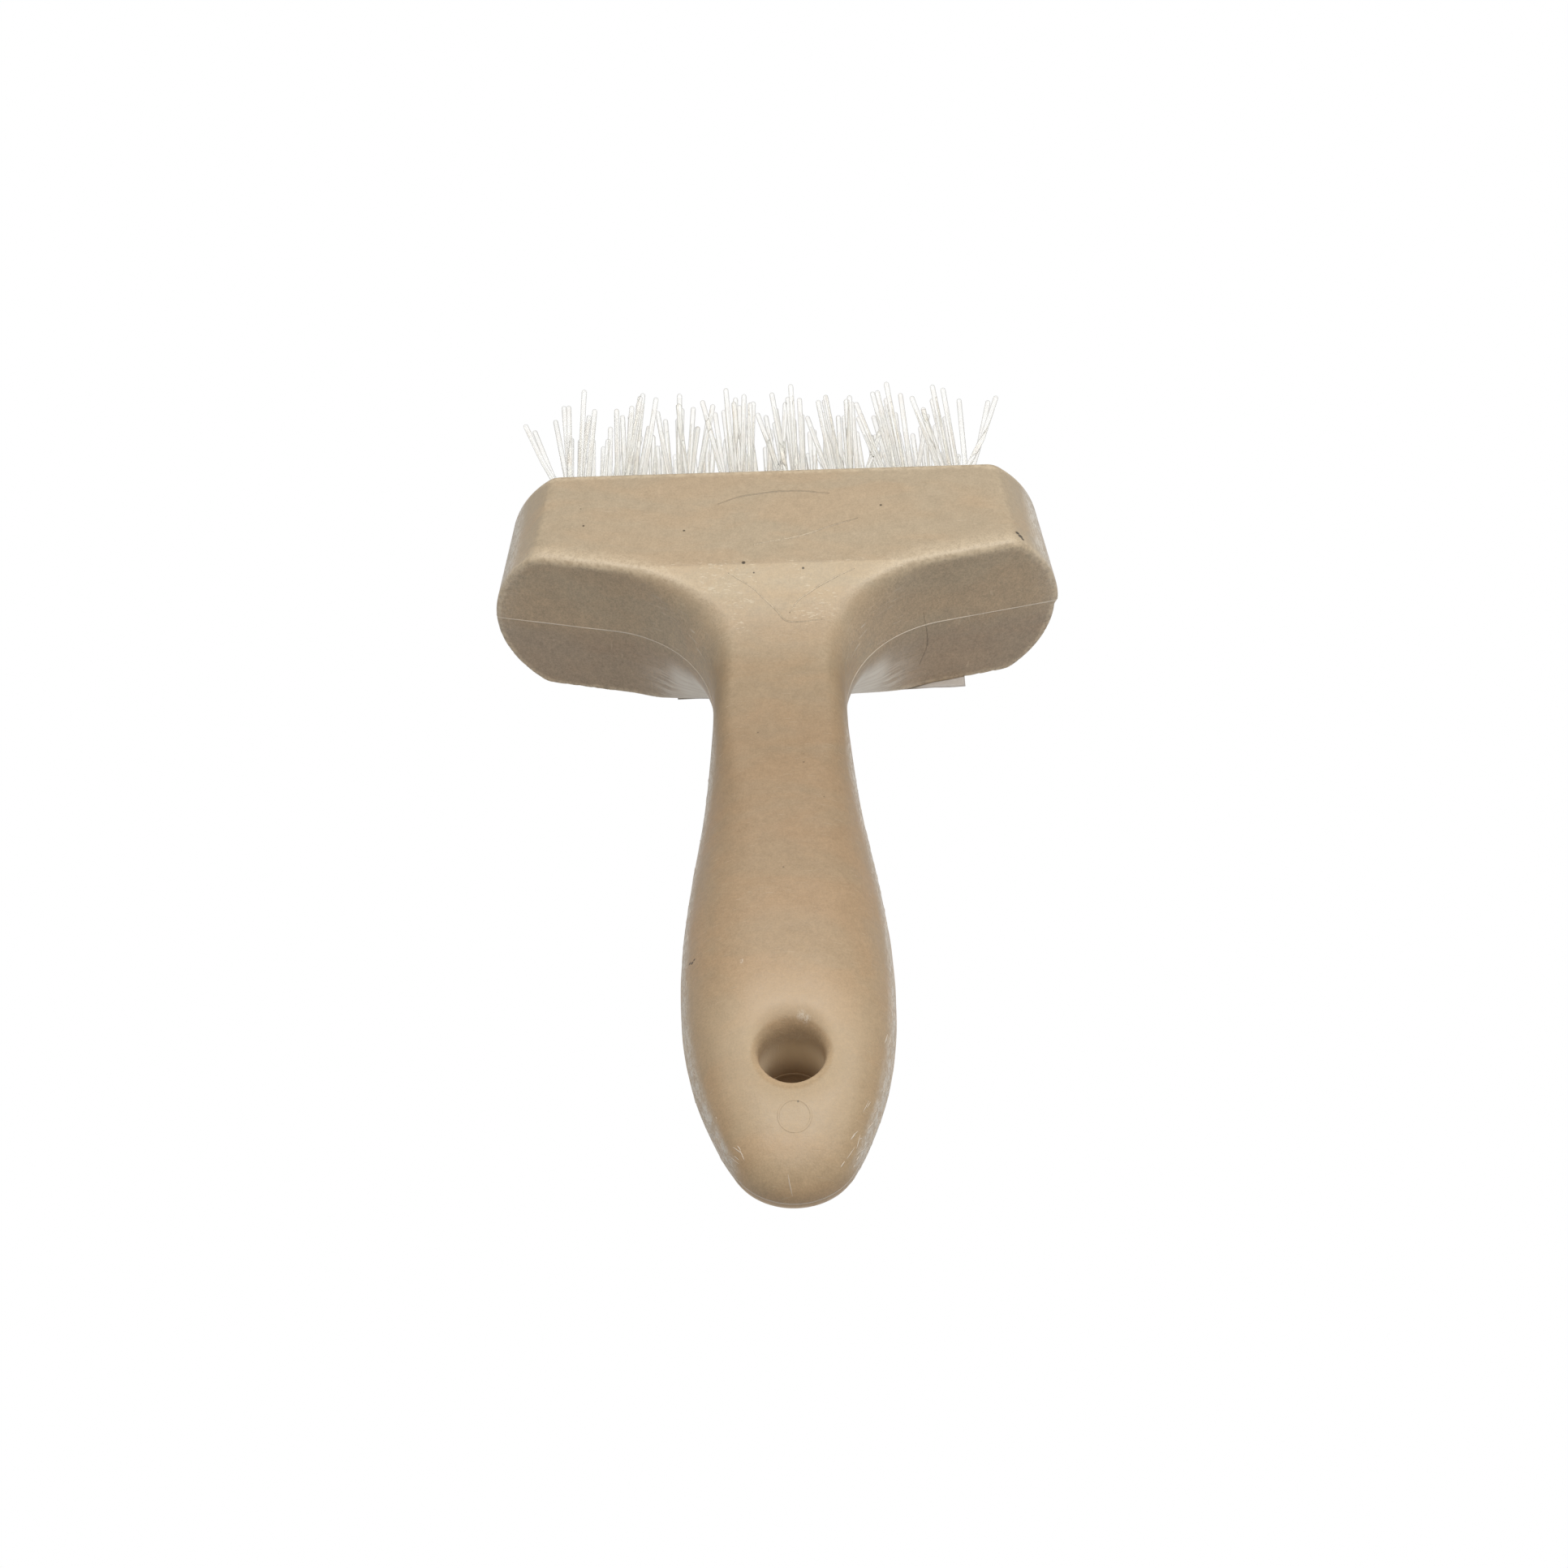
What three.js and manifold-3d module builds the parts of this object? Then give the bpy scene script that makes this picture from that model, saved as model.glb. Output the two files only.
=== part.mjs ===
// A T-shaped hand brush for grooming pets: a one-piece moulded body whose head carries tufts of
// nylon filament, each held in its blind hole by a wire anchor, and a paper label on the underside.
//
// Millimetres. +Z is up and is the direction the mould opens, +Y is the way the bristles point,
// and X runs along the head. The pieces are laid out about the mould's parting plane (z = 0) and
// the rear corners of the head (y = 0); the last section lifts them onto the origin, which is the
// bottom centre of the whole brush's box.

import * as THREE from 'three';
import { mergeVertices } from 'three/addons/utils/BufferGeometryUtils.js';
import Module from 'manifold-3d';

const wasm = await Module();
wasm.setup();

// ---- Driving dimensions ------------------------------------------------------------------------

const HEAD_HALF_WIDTH = 40.25;   // at the parting plane, at the rear corners
const HEAD_HALF_HEIGHT = 12.2;   // between the parting plane and each flat
const HEAD_DEPTH = 17;           // from the rear corners to the bristle face
const HEAD_TAPER = 2.35;         // how much narrower each side is at the bristle face
const HEAD_END_RADIUS = 14.7;    // the round ends, seen from the bristle side

const WALL_SWEEP = THREE.MathUtils.degToRad(12);  // the rear wall leans back towards the neck
const SWEEP_RADIUS = 17.3;       // the concave sweep between the rear wall and the neck
const NECK_Y = -19.6;            // where the sweep meets the handle
const NECK_HALF_WIDTH = 9.25;

const CREASE_Y = -2.2;           // the flat breaks here into the facet that runs down to the neck
const FACET_SLOPE = THREE.MathUtils.degToRad(14);
const FACET_END_Y = -7;

const TIP_Y = -103.95;           // the far end of the handle
const TIP_PLAN_RADIUS = 8.5;
const TIP_ROUND = 3.5;           // the end's rounding, seen from the side

const HANG_HOLE_X = 0.3;         // a little off the middle
const HANG_HOLE_Y = -86;
const HANG_HOLE_RADIUS = 4.2;
const HANG_HOLE_LIP = 1.6;       // the rounded lip at each mouth of the hole
const HANG_HOLE_HALF_THICKNESS = 8.2;

const TUFT_PITCH = 7.85;         // the same to all six neighbours
const TUFTS_PER_ROW = [8, 7, 8];
const ROW_NAMES = ['tuft_top', 'tuft_mid', 'tuft_low'];
const TUFT_FIELD_X = -1.2;       // the drilled field sits a little to one side
const TUFT_LENGTH = 19.5;        // free length in front of the bristle face
const TUFT_TIP_RADIUS = 3.4;
const HOLE_RADIUS = 2.5;
const HOLE_DEPTH = 12;
const FIT_GAP = 0.3;             // clearance between pieces that touch

const ANCHOR_LENGTH = 4.4;       // the flattened wire that each tuft is folded over
const ANCHOR_WIDTH = 1.6;
const ANCHOR_THICKNESS = 0.4;
const ANCHOR_BITE = 0.5;         // its pointed ends
const ANCHOR_LIFT = 1.8;         // above the bottom of the hole, with the fold of the tuft below

const LABEL_WIDTH = 41.5;
const LABEL_DEPTH = 16;
const LABEL_CORNER = 0.4;
const LABEL_THICKNESS = 0.2;
const LABEL_GAP = 0.05;          // the gum between the label and the flat
const LABEL_REAR_Y = -3.9;
const LABEL_X = 6;
const LABEL_TURN = THREE.MathUtils.degToRad(1.2);

// ---- Materials ---------------------------------------------------------------------------------

const foamedPlastic = new THREE.MeshStandardMaterial({ color: 0xbba98d, roughness: 0.55, metalness: 0 });
const nylon = new THREE.MeshStandardMaterial({ color: 0xecebe4, roughness: 0.3, metalness: 0 });
const wire = new THREE.MeshStandardMaterial({ color: 0xb5b3ad, roughness: 0.4, metalness: 1 });
const paper = new THREE.MeshStandardMaterial({ color: 0xe9e8e6, roughness: 0.8, metalness: 0 });

// ---- Solids: joining and cutting ---------------------------------------------------------------

function solidOf(geometry) {
  const bare = geometry.clone();
  bare.deleteAttribute('normal');
  bare.deleteAttribute('uv');
  const merged = mergeVertices(bare, 1e-4);
  return new wasm.Manifold(new wasm.Mesh({
    numProp: 3,
    vertProperties: new Float32Array(merged.attributes.position.array),
    triVerts: new Uint32Array(merged.index.array),
  }));
}

function geometryOf(solid) {
  const mesh = solid.getMesh();
  const geometry = new THREE.BufferGeometry();
  geometry.setAttribute('position', new THREE.BufferAttribute(new Float32Array(mesh.vertProperties), 3));
  geometry.setIndex(new THREE.BufferAttribute(new Uint32Array(mesh.triVerts), 1));
  geometry.computeVertexNormals();
  return geometry;
}

// A shape drawn in X and Z, extruded along +Y from yStart.
function extrudeAlongY(shape, yStart, length, curveSegments) {
  const geometry = new THREE.ExtrudeGeometry(shape, { depth: length, bevelEnabled: false, curveSegments });
  geometry.rotateX(Math.PI / 2);
  geometry.translate(0, yStart + length, 0);
  return geometry;
}

// ---- The body's plan and side profiles ---------------------------------------------------------

// The handle's edge in plan, from the end arc to the neck, as points (half-width, y).
const endArcAngle = Math.atan(0.5);
const handleEdge = new THREE.SplineCurve([
  new THREE.Vector2(TIP_PLAN_RADIUS * Math.cos(endArcAngle),
    TIP_Y + TIP_PLAN_RADIUS * (1 - Math.sin(endArcAngle))),
  new THREE.Vector2(9.5, -95.1),
  new THREE.Vector2(12.1, -87.6),
  new THREE.Vector2(13.5, -80),
  new THREE.Vector2(13.95, -72),
  new THREE.Vector2(13.65, -62.5),
  new THREE.Vector2(12.55, -52.5),
  new THREE.Vector2(10.75, -40),
  new THREE.Vector2(9.6, -28),
  new THREE.Vector2(NECK_HALF_WIDTH, NECK_Y),
]);

// The handle's half-thickness, from the rounded end to the facet, as points (y, half-thickness).
const facetEndThickness = HEAD_HALF_HEIGHT - Math.tan(FACET_SLOPE) * (CREASE_Y - FACET_END_Y);
const thicknessCurve = new THREE.SplineCurve([
  new THREE.Vector2(TIP_Y + TIP_ROUND, TIP_ROUND),
  new THREE.Vector2(-95, 5.5),
  new THREE.Vector2(-90, 7.2),
  new THREE.Vector2(-84, 8.5),
  new THREE.Vector2(-75, 9.4),
  new THREE.Vector2(-62, 9.8),
  new THREE.Vector2(-46, 9.4),
  new THREE.Vector2(-32, 9.0),
  new THREE.Vector2(-20, 9.3),
  new THREE.Vector2(-12.5, 9.95),
  new THREE.Vector2(FACET_END_Y, facetEndThickness),
]);

// Reads a curve, whose key coordinate rises along it, at one value of that coordinate.
function readCurve(curve, key, wanted, value) {
  let low = 0;
  let high = 1;
  for (let step = 0; step < 40; step += 1) {
    const middle = (low + high) / 2;
    if (curve.getPoint(middle)[key] < wanted) low = middle;
    else high = middle;
  }
  return curve.getPoint(low)[value];
}

const sweepCentre = new THREE.Vector2(NECK_HALF_WIDTH + SWEEP_RADIUS, NECK_Y);
const wallStart = new THREE.Vector2(
  sweepCentre.x - SWEEP_RADIUS * Math.sin(WALL_SWEEP),
  sweepCentre.y + SWEEP_RADIUS * Math.cos(WALL_SWEEP),
);

function halfWidthAt(y) {
  if (y >= wallStart.y) return wallStart.x;
  if (y >= NECK_Y) return sweepCentre.x - Math.sqrt(SWEEP_RADIUS ** 2 - (y - NECK_Y) ** 2);
  if (y > handleEdge.getPoint(0).y) return readCurve(handleEdge, 'y', y, 'x');
  return Math.sqrt(Math.max(0, TIP_PLAN_RADIUS ** 2 - (y - TIP_Y - TIP_PLAN_RADIUS) ** 2));
}

function halfThicknessAt(y) {
  if (y >= FACET_END_Y) {
    return HEAD_HALF_HEIGHT - Math.tan(FACET_SLOPE) * Math.max(0, CREASE_Y - y);
  }
  if (y > TIP_Y + TIP_ROUND) return readCurve(thicknessCurve, 'x', y, 'y');
  return Math.sqrt(Math.max(0, TIP_ROUND ** 2 - (y - TIP_Y - TIP_ROUND) ** 2));
}

// The section is a full oval on the handle and squares up through the sweep into the head.
const HANDLE_SECTION_POWER = 2.3;
const HEAD_SECTION_POWER = 8;

function sectionPowerAt(y) {
  const along = THREE.MathUtils.smoothstep(y, NECK_Y - 4, wallStart.y);
  return THREE.MathUtils.lerp(HANDLE_SECTION_POWER, HEAD_SECTION_POWER, along);
}

// ---- The body ----------------------------------------------------------------------------------

// Stations along the handle: close together where it turns, at the end and through the sweep.
function handleStations() {
  const stations = [];
  for (let step = 1; step <= 4; step += 1) {
    stations.push(TIP_Y + TIP_ROUND * (1 - Math.cos((step / 4) * (Math.PI / 2))));
  }
  for (let y = -98; y < -84; y += 2) stations.push(y);
  for (let y = -84; y < NECK_Y; y += 4) stations.push(y);
  for (let step = 0; step <= 8; step += 1) {
    const turn = (step / 8) * (Math.PI / 2 - WALL_SWEEP);
    stations.push(NECK_Y + SWEEP_RADIUS * Math.sin(turn));
  }
  stations.push(HEAD_DEPTH / 3);
  return stations;
}

const SECTION_SIDES = 40;

function handleLoft() {
  const stations = handleStations();
  const positions = [0, TIP_Y, 0];
  for (const y of stations) {
    const width = halfWidthAt(y);
    const insideHead = y > wallStart.y ? FIT_GAP : 0;
    const thickness = halfThicknessAt(y) - insideHead;
    const power = 2 / sectionPowerAt(y);
    for (let side = 0; side < SECTION_SIDES; side += 1) {
      const angle = (side / SECTION_SIDES) * 2 * Math.PI;
      const across = Math.cos(angle);
      const up = Math.sin(angle);
      positions.push(
        width * Math.sign(across) * Math.abs(across) ** power,
        y,
        thickness * Math.sign(up) * Math.abs(up) ** power,
      );
    }
  }
  positions.push(0, stations[stations.length - 1], 0);

  const index = [];
  const ring = (station, side) => 1 + station * SECTION_SIDES + (side % SECTION_SIDES);
  const last = stations.length - 1;
  const farCentre = positions.length / 3 - 1;
  for (let side = 0; side < SECTION_SIDES; side += 1) {
    index.push(0, ring(0, side), ring(0, side + 1));
    for (let station = 0; station < last; station += 1) {
      index.push(ring(station, side), ring(station + 1, side), ring(station + 1, side + 1));
      index.push(ring(station, side), ring(station + 1, side + 1), ring(station, side + 1));
    }
    index.push(farCentre, ring(last, side + 1), ring(last, side));
  }
  const geometry = new THREE.BufferGeometry();
  geometry.setAttribute('position', new THREE.Float32BufferAttribute(positions, 3));
  geometry.setIndex(index);
  return geometry;
}

// The head: flats above and below with round ends, narrowing towards the bristle face.
function headBlock() {
  const arcCentre = HEAD_HALF_WIDTH - HEAD_END_RADIUS;
  const arcTurn = Math.asin(HEAD_HALF_HEIGHT / HEAD_END_RADIUS);
  const outline = new THREE.Shape();
  outline.absarc(arcCentre, 0, HEAD_END_RADIUS, -arcTurn, arcTurn, false);
  outline.absarc(-arcCentre, 0, HEAD_END_RADIUS, Math.PI - arcTurn, Math.PI + arcTurn, false);
  outline.closePath();
  const rearReach = 6;
  const geometry = extrudeAlongY(outline, -rearReach, HEAD_DEPTH + rearReach, 20);
  const place = geometry.attributes.position;
  for (let vertex = 0; vertex < place.count; vertex += 1) {
    const x = place.getX(vertex);
    const narrowing = (HEAD_TAPER / HEAD_DEPTH) * place.getY(vertex);
    place.setX(vertex, x - Math.sign(x) * narrowing);
  }
  return geometry;
}

// What the rear walls leave of the head, in plan.
function headPlan() {
  const reach = HEAD_HALF_WIDTH + 5;
  const wallEndY = wallStart.y + Math.tan(WALL_SWEEP) * (reach - wallStart.x);
  const creaseHalfWidth = 15;
  const right = [
    [creaseHalfWidth, CREASE_Y],
    [wallStart.x, wallStart.y],
    [reach, wallEndY],
    [reach, HEAD_DEPTH + 1],
  ];
  const left = right.map(([x, y]) => [-x, y]).reverse();
  const outline = new THREE.Shape([...right, ...left].map(([x, y]) => new THREE.Vector2(x, y)));
  const depth = 2 * HEAD_HALF_HEIGHT + 2;
  const geometry = new THREE.ExtrudeGeometry(outline, { depth, bevelEnabled: false });
  geometry.translate(0, 0, -depth / 2);
  return geometry;
}

// The cutter for the hanging hole: a bore with a rounded lip at each mouth.
function hangHoleCutter() {
  const profile = [];
  const lipStart = HANG_HOLE_HALF_THICKNESS - HANG_HOLE_LIP;
  const reach = HANG_HOLE_HALF_THICKNESS + 4;
  const lipSteps = 4;
  for (let step = 0; step <= lipSteps; step += 1) {
    const turn = (step / lipSteps) * (Math.PI / 2);
    profile.push(new THREE.Vector2(
      HANG_HOLE_RADIUS + HANG_HOLE_LIP * (1 - Math.cos(turn)),
      lipStart + HANG_HOLE_LIP * Math.sin(turn),
    ));
  }
  profile.push(new THREE.Vector2(HANG_HOLE_RADIUS + HANG_HOLE_LIP, reach));
  profile.push(new THREE.Vector2(0, reach));
  const lower = profile.map((point) => new THREE.Vector2(point.x, -point.y)).reverse();
  const geometry = new THREE.LatheGeometry([...lower, ...profile], 32);
  geometry.rotateX(Math.PI / 2);
  geometry.translate(HANG_HOLE_X, HANG_HOLE_Y, 0);
  return geometry;
}

// ---- Where the tufts stand ---------------------------------------------------------------------

const rowPitch = TUFT_PITCH * Math.sin(Math.PI / 3);

function tuftPlaces() {
  const places = [];
  TUFTS_PER_ROW.forEach((count, row) => {
    for (let number = 1; number <= count; number += 1) {
      places.push({
        name: `${ROW_NAMES[row]}_${number}`,
        x: TUFT_FIELD_X + (number - (count + 1) / 2) * TUFT_PITCH,
        z: (1 - row) * rowPitch,
      });
    }
  });
  return places;
}

function tuftHoleCutter(place) {
  const past = 1;
  const geometry = new THREE.CylinderGeometry(HOLE_RADIUS, HOLE_RADIUS, HOLE_DEPTH + past, 16);
  geometry.translate(place.x, HEAD_DEPTH + past - (HOLE_DEPTH + past) / 2, place.z);
  return geometry;
}

function bodyGeometry() {
  let body = solidOf(headBlock()).intersect(solidOf(headPlan())).add(solidOf(handleLoft()));
  body = body.subtract(solidOf(hangHoleCutter()));
  for (const place of tuftPlaces()) body = body.subtract(solidOf(tuftHoleCutter(place)));
  return geometryOf(body);
}

// ---- One tuft and its anchor, about the middle of the hole's mouth ------------------------------

const anchorY = -HOLE_DEPTH + ANCHOR_LIFT;

// Folded filaments as one solid: straight in the hole, spreading in front of it, slotted for the wire.
function tuftGeometry() {
  const rootRadius = HOLE_RADIUS - FIT_GAP;
  const foldRound = 0.8;
  const crown = 0.9;
  const geometry = new THREE.LatheGeometry([
    new THREE.Vector2(0, -HOLE_DEPTH + FIT_GAP),
    new THREE.Vector2(rootRadius - foldRound, -HOLE_DEPTH + FIT_GAP),
    new THREE.Vector2(rootRadius, -HOLE_DEPTH + FIT_GAP + foldRound),
    new THREE.Vector2(rootRadius, 0),
    new THREE.Vector2(TUFT_TIP_RADIUS, TUFT_LENGTH - crown),
    new THREE.Vector2(TUFT_TIP_RADIUS - crown, TUFT_LENGTH),
    new THREE.Vector2(0, TUFT_LENGTH),
  ], 12);
  const slot = new THREE.BoxGeometry(
    2 * HOLE_RADIUS + 1,
    ANCHOR_WIDTH + 2 * FIT_GAP,
    ANCHOR_THICKNESS + 2 * FIT_GAP,
  );
  slot.translate(0, anchorY, 0);
  return geometryOf(solidOf(geometry).subtract(solidOf(slot)));
}

function anchorGeometry() {
  const half = ANCHOR_LENGTH / 2;
  const outline = new THREE.Shape([
    new THREE.Vector2(-half, 0),
    new THREE.Vector2(-half + ANCHOR_BITE, -ANCHOR_WIDTH / 2),
    new THREE.Vector2(half - ANCHOR_BITE, -ANCHOR_WIDTH / 2),
    new THREE.Vector2(half, 0),
    new THREE.Vector2(half - ANCHOR_BITE, ANCHOR_WIDTH / 2),
    new THREE.Vector2(-half + ANCHOR_BITE, ANCHOR_WIDTH / 2),
  ]);
  const geometry = new THREE.ExtrudeGeometry(outline, { depth: ANCHOR_THICKNESS, bevelEnabled: false });
  geometry.translate(0, anchorY, -ANCHOR_THICKNESS / 2);
  return geometry;
}

// ---- The label ---------------------------------------------------------------------------------

function labelGeometry() {
  const right = LABEL_WIDTH / 2;
  const outline = new THREE.Shape();
  outline.absarc(right - LABEL_CORNER, LABEL_CORNER, LABEL_CORNER, -Math.PI / 2, 0, false);
  outline.absarc(right - LABEL_CORNER, LABEL_DEPTH - LABEL_CORNER, LABEL_CORNER, 0, Math.PI / 2, false);
  outline.absarc(-right + LABEL_CORNER, LABEL_DEPTH - LABEL_CORNER, LABEL_CORNER, Math.PI / 2, Math.PI, false);
  outline.absarc(-right + LABEL_CORNER, LABEL_CORNER, LABEL_CORNER, Math.PI, 1.5 * Math.PI, false);
  const settings = { depth: LABEL_THICKNESS, bevelEnabled: false, curveSegments: 3 };
  const geometry = new THREE.ExtrudeGeometry(outline, settings);
  geometry.translate(0, 0, -LABEL_THICKNESS);
  return geometry;
}

// ---- The brush ---------------------------------------------------------------------------------

function piece(name, geometry, material) {
  const mesh = new THREE.Mesh(geometry, material);
  mesh.name = name;
  return mesh;
}

const brush = new THREE.Group();
const lowestZ = -HEAD_HALF_HEIGHT - LABEL_GAP - LABEL_THICKNESS;
const middleY = (TIP_Y + HEAD_DEPTH + TUFT_LENGTH) / 2;
brush.position.set(0, -middleY, -lowestZ);

brush.add(piece('body', bodyGeometry(), foamedPlastic));

for (const place of tuftPlaces()) {
  const tuft = piece(place.name, tuftGeometry(), nylon);
  const anchor = piece(place.name.replace('tuft', 'anchor'), anchorGeometry(), wire);
  const station = new THREE.Group();
  station.position.set(place.x, HEAD_DEPTH, place.z);
  station.add(tuft, anchor);
  brush.add(station);
}

const label = piece('label', labelGeometry(), paper);
label.position.set(LABEL_X, LABEL_REAR_Y, -HEAD_HALF_HEIGHT - LABEL_GAP);
label.rotation.z = LABEL_TURN;
brush.add(label);

export default brush;
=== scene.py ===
"""A T-shaped pet brush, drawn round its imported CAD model: moulded body, nylon tufts, wire anchors, label.

Lengths in this file are millimetres in the brush's own layout, and metres only where they are handed
to Blender. The layout's zero is on the mould's parting plane (z), in the middle of the head (x) and
on the line between the head's rear corners (y). place() turns such points into the CAD frame.
"""

import math
import random

import bmesh
import bpy
import numpy as np
from mathutils import Matrix, Vector


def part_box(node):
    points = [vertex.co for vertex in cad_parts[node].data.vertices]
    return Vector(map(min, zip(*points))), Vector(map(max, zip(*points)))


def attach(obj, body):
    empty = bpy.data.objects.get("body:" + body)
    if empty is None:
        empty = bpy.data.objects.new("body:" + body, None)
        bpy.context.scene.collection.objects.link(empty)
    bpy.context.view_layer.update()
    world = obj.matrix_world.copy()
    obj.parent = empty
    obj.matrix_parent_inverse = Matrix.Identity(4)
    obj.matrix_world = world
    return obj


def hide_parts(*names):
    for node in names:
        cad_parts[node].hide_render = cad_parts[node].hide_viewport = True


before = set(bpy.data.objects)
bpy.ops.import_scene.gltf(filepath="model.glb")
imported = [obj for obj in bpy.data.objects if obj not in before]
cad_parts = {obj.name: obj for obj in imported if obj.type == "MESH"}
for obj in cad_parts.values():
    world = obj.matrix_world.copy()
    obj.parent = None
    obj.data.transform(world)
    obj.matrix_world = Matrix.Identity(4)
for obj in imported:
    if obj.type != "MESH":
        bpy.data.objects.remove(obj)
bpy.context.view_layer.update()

# ---- The CAD frame ----

MM = 0.001
HEAD_DEPTH = 17.0

body_low, body_high = (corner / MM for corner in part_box("body"))
HALF_HEIGHT = (body_high.z - body_low.z) / 2
FRONT_Y = HEAD_DEPTH
TIP_Y = HEAD_DEPTH - (body_high.y - body_low.y)
LAYOUT_ZERO = np.array([0.0, body_high.y - HEAD_DEPTH, (body_high.z + body_low.z) / 2])


def place(points):
    """Layout points in millimetres as CAD frame points in metres."""
    return (np.asarray(points, float) + LAYOUT_ZERO) * MM


def layout_box(node):
    """A CAD node's corners in the layout, in millimetres."""
    low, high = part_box(node)
    return np.array(low) / MM - LAYOUT_ZERO, np.array(high) / MM - LAYOUT_ZERO


# ---- Meshes ----


def new_mesh_object(name, points, faces, smooth=True):
    """A mesh object from layout points and faces of any size."""
    mesh = bpy.data.meshes.new(name)
    mesh.from_pydata(place(points).tolist(), [], [list(map(int, face)) for face in faces])
    mesh.validate()
    mesh.polygons.foreach_set("use_smooth", [smooth] * len(mesh.polygons))
    mesh.update()
    piece = bpy.data.objects.new(name, mesh)
    bpy.context.scene.collection.objects.link(piece)
    return piece


def band_faces(first, rings, sides, closed=False):
    """Quads between rings of points that follow each other in a list."""
    faces = []
    for i in range(rings if closed else rings - 1):
        low, high = first + i * sides, first + (i + 1) % rings * sides
        for j in range(sides):
            k = (j + 1) % sides
            faces.append((low + j, low + k, high + k, high + j))
    return faces


def finish_piece(piece, material, slot, *replaced):
    """Gives a piece its material, hides the CAD nodes it stands for and hangs it under the root; the slot is
    not used.
    """
    piece.data.materials.append(material)
    for node in replaced:
        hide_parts(node)
    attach(piece, "root")


def set_attribute(piece, name, values):
    """Stores one number for each vertex, for the materials to read."""
    attribute = piece.data.attributes.new(name, "FLOAT", "POINT")
    attribute.data.foreach_set("value", np.asarray(values, np.float32))


# ---- The body's shape ----

HALF_WIDTH = 40.25
HEAD_TAPER = 2.35
END_RADIUS = 14.7
WALL_SWEEP = math.radians(12)
SWEEP_RADIUS = 17.3
NECK_Y = -19.6
NECK_HALF_WIDTH = 9.25
WALL_DRAFT = math.tan(math.radians(3))

CREASE_Y = -2.2
FACET_SLOPE = math.tan(math.radians(14))
FACET_END_Y = -7.0

TIP_PLAN_RADIUS = 8.5
TIP_HALF_THICKNESS = 2.7

HANG_HOLE_X = 0.3
HANG_HOLE_Y = -86.0
HANG_HOLE_RADIUS = 4.2
HANG_HOLE_NEAR_LIP = 0.5
HANG_HOLE_FAR_LIP = 4.2

END_EDGE_RADIUS = 0.55
FRONT_EDGE_RADIUS = 0.8
SECTION_POWER = 2.1

# Where the handle's edge runs in plan, as (half-width, y), from the end arc to the neck.
HANDLE_EDGE = [(9.5, -95.1), (12.1, -87.6), (13.5, -80), (13.95, -72), (13.65, -62.5), (12.55, -52.5),
               (10.75, -40), (9.6, -28)]

# Half the thickness along the handle, as (y, half-thickness).
THICKNESS = [(-100, 4.1), (-95, 5.7), (-90, 7.2), (-84, 8.5), (-75, 9.4), (-62, 9.8), (-46, 9.4), (-32, 9.0),
             (-20, 9.3), (-12.5, 9.95)]

# The rounding of the section's corners, as (y, reach across, reach down): nearly oval on the
# handle, and tight by the head's rear edge.
ROUNDING = [(-103.4, 3.5, 3.5), (-96, 6.5, 4.9), (-86, 9.8, 7.9), (-72, 11, 9.2), (-52, 9, 9.2),
            (-38, 5.4, 8.0), (-27, 2.6, 4.6), (-15, 3.6, 6.8), (-10, 4.2, 6.8), (-7, 3.4, 4.7),
            (-4.5, 2.0, 2.4), (-2.7, 1.3, 1.3), (0, 1.2, 1.2)]


def value_at(curve, y, column=1):
    """What a table or curve whose first column is y says at y."""
    return np.interp(y, curve[:, 0], curve[:, column])


def spline(points, per_span=24):
    """A Catmull-Rom curve through the points, as an array of points."""
    knots = np.array(points, float)
    padded = np.vstack([2 * knots[0] - knots[1], knots, 2 * knots[-1] - knots[-2]])
    t = np.linspace(0, 1, per_span, endpoint=False)[:, None]
    spans = []
    for a, b, c, d in zip(padded, padded[1:], padded[2:], padded[3:]):
        spans.append(0.5 * (2 * b + (c - a) * t + (2 * a - 5 * b + 4 * c - d) * t**2
                            + (3 * b - 3 * c + d - a) * t**3))
    return np.vstack(spans + [knots[-1:]])


def plan_outline():
    """The right-hand edge of the plan, from the handle's tip to beyond the end of the rear wall."""
    end_turn = math.atan(0.5)
    angles = np.linspace(-math.pi / 2, -end_turn, 40)
    tip = np.column_stack([TIP_PLAN_RADIUS * np.cos(angles),
                           TIP_Y + TIP_PLAN_RADIUS * (1 + np.sin(angles))])
    edge = spline([tuple(tip[-1])] + HANDLE_EDGE + [(NECK_HALF_WIDTH, NECK_Y)])
    turns = np.linspace(0, math.pi / 2 - WALL_SWEEP, 60)
    sweep = np.column_stack([NECK_HALF_WIDTH + SWEEP_RADIUS * (1 - np.cos(turns)),
                             NECK_Y + SWEEP_RADIUS * np.sin(turns)])
    reach = HALF_WIDTH + 8
    wall_end = (reach, sweep[-1, 1] + math.tan(WALL_SWEEP) * (reach - sweep[-1, 0]))
    return np.vstack([tip[:-1], edge[:-1], sweep, [wall_end]])


OUTLINE = plan_outline()
WALL_START = OUTLINE[-2]


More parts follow.
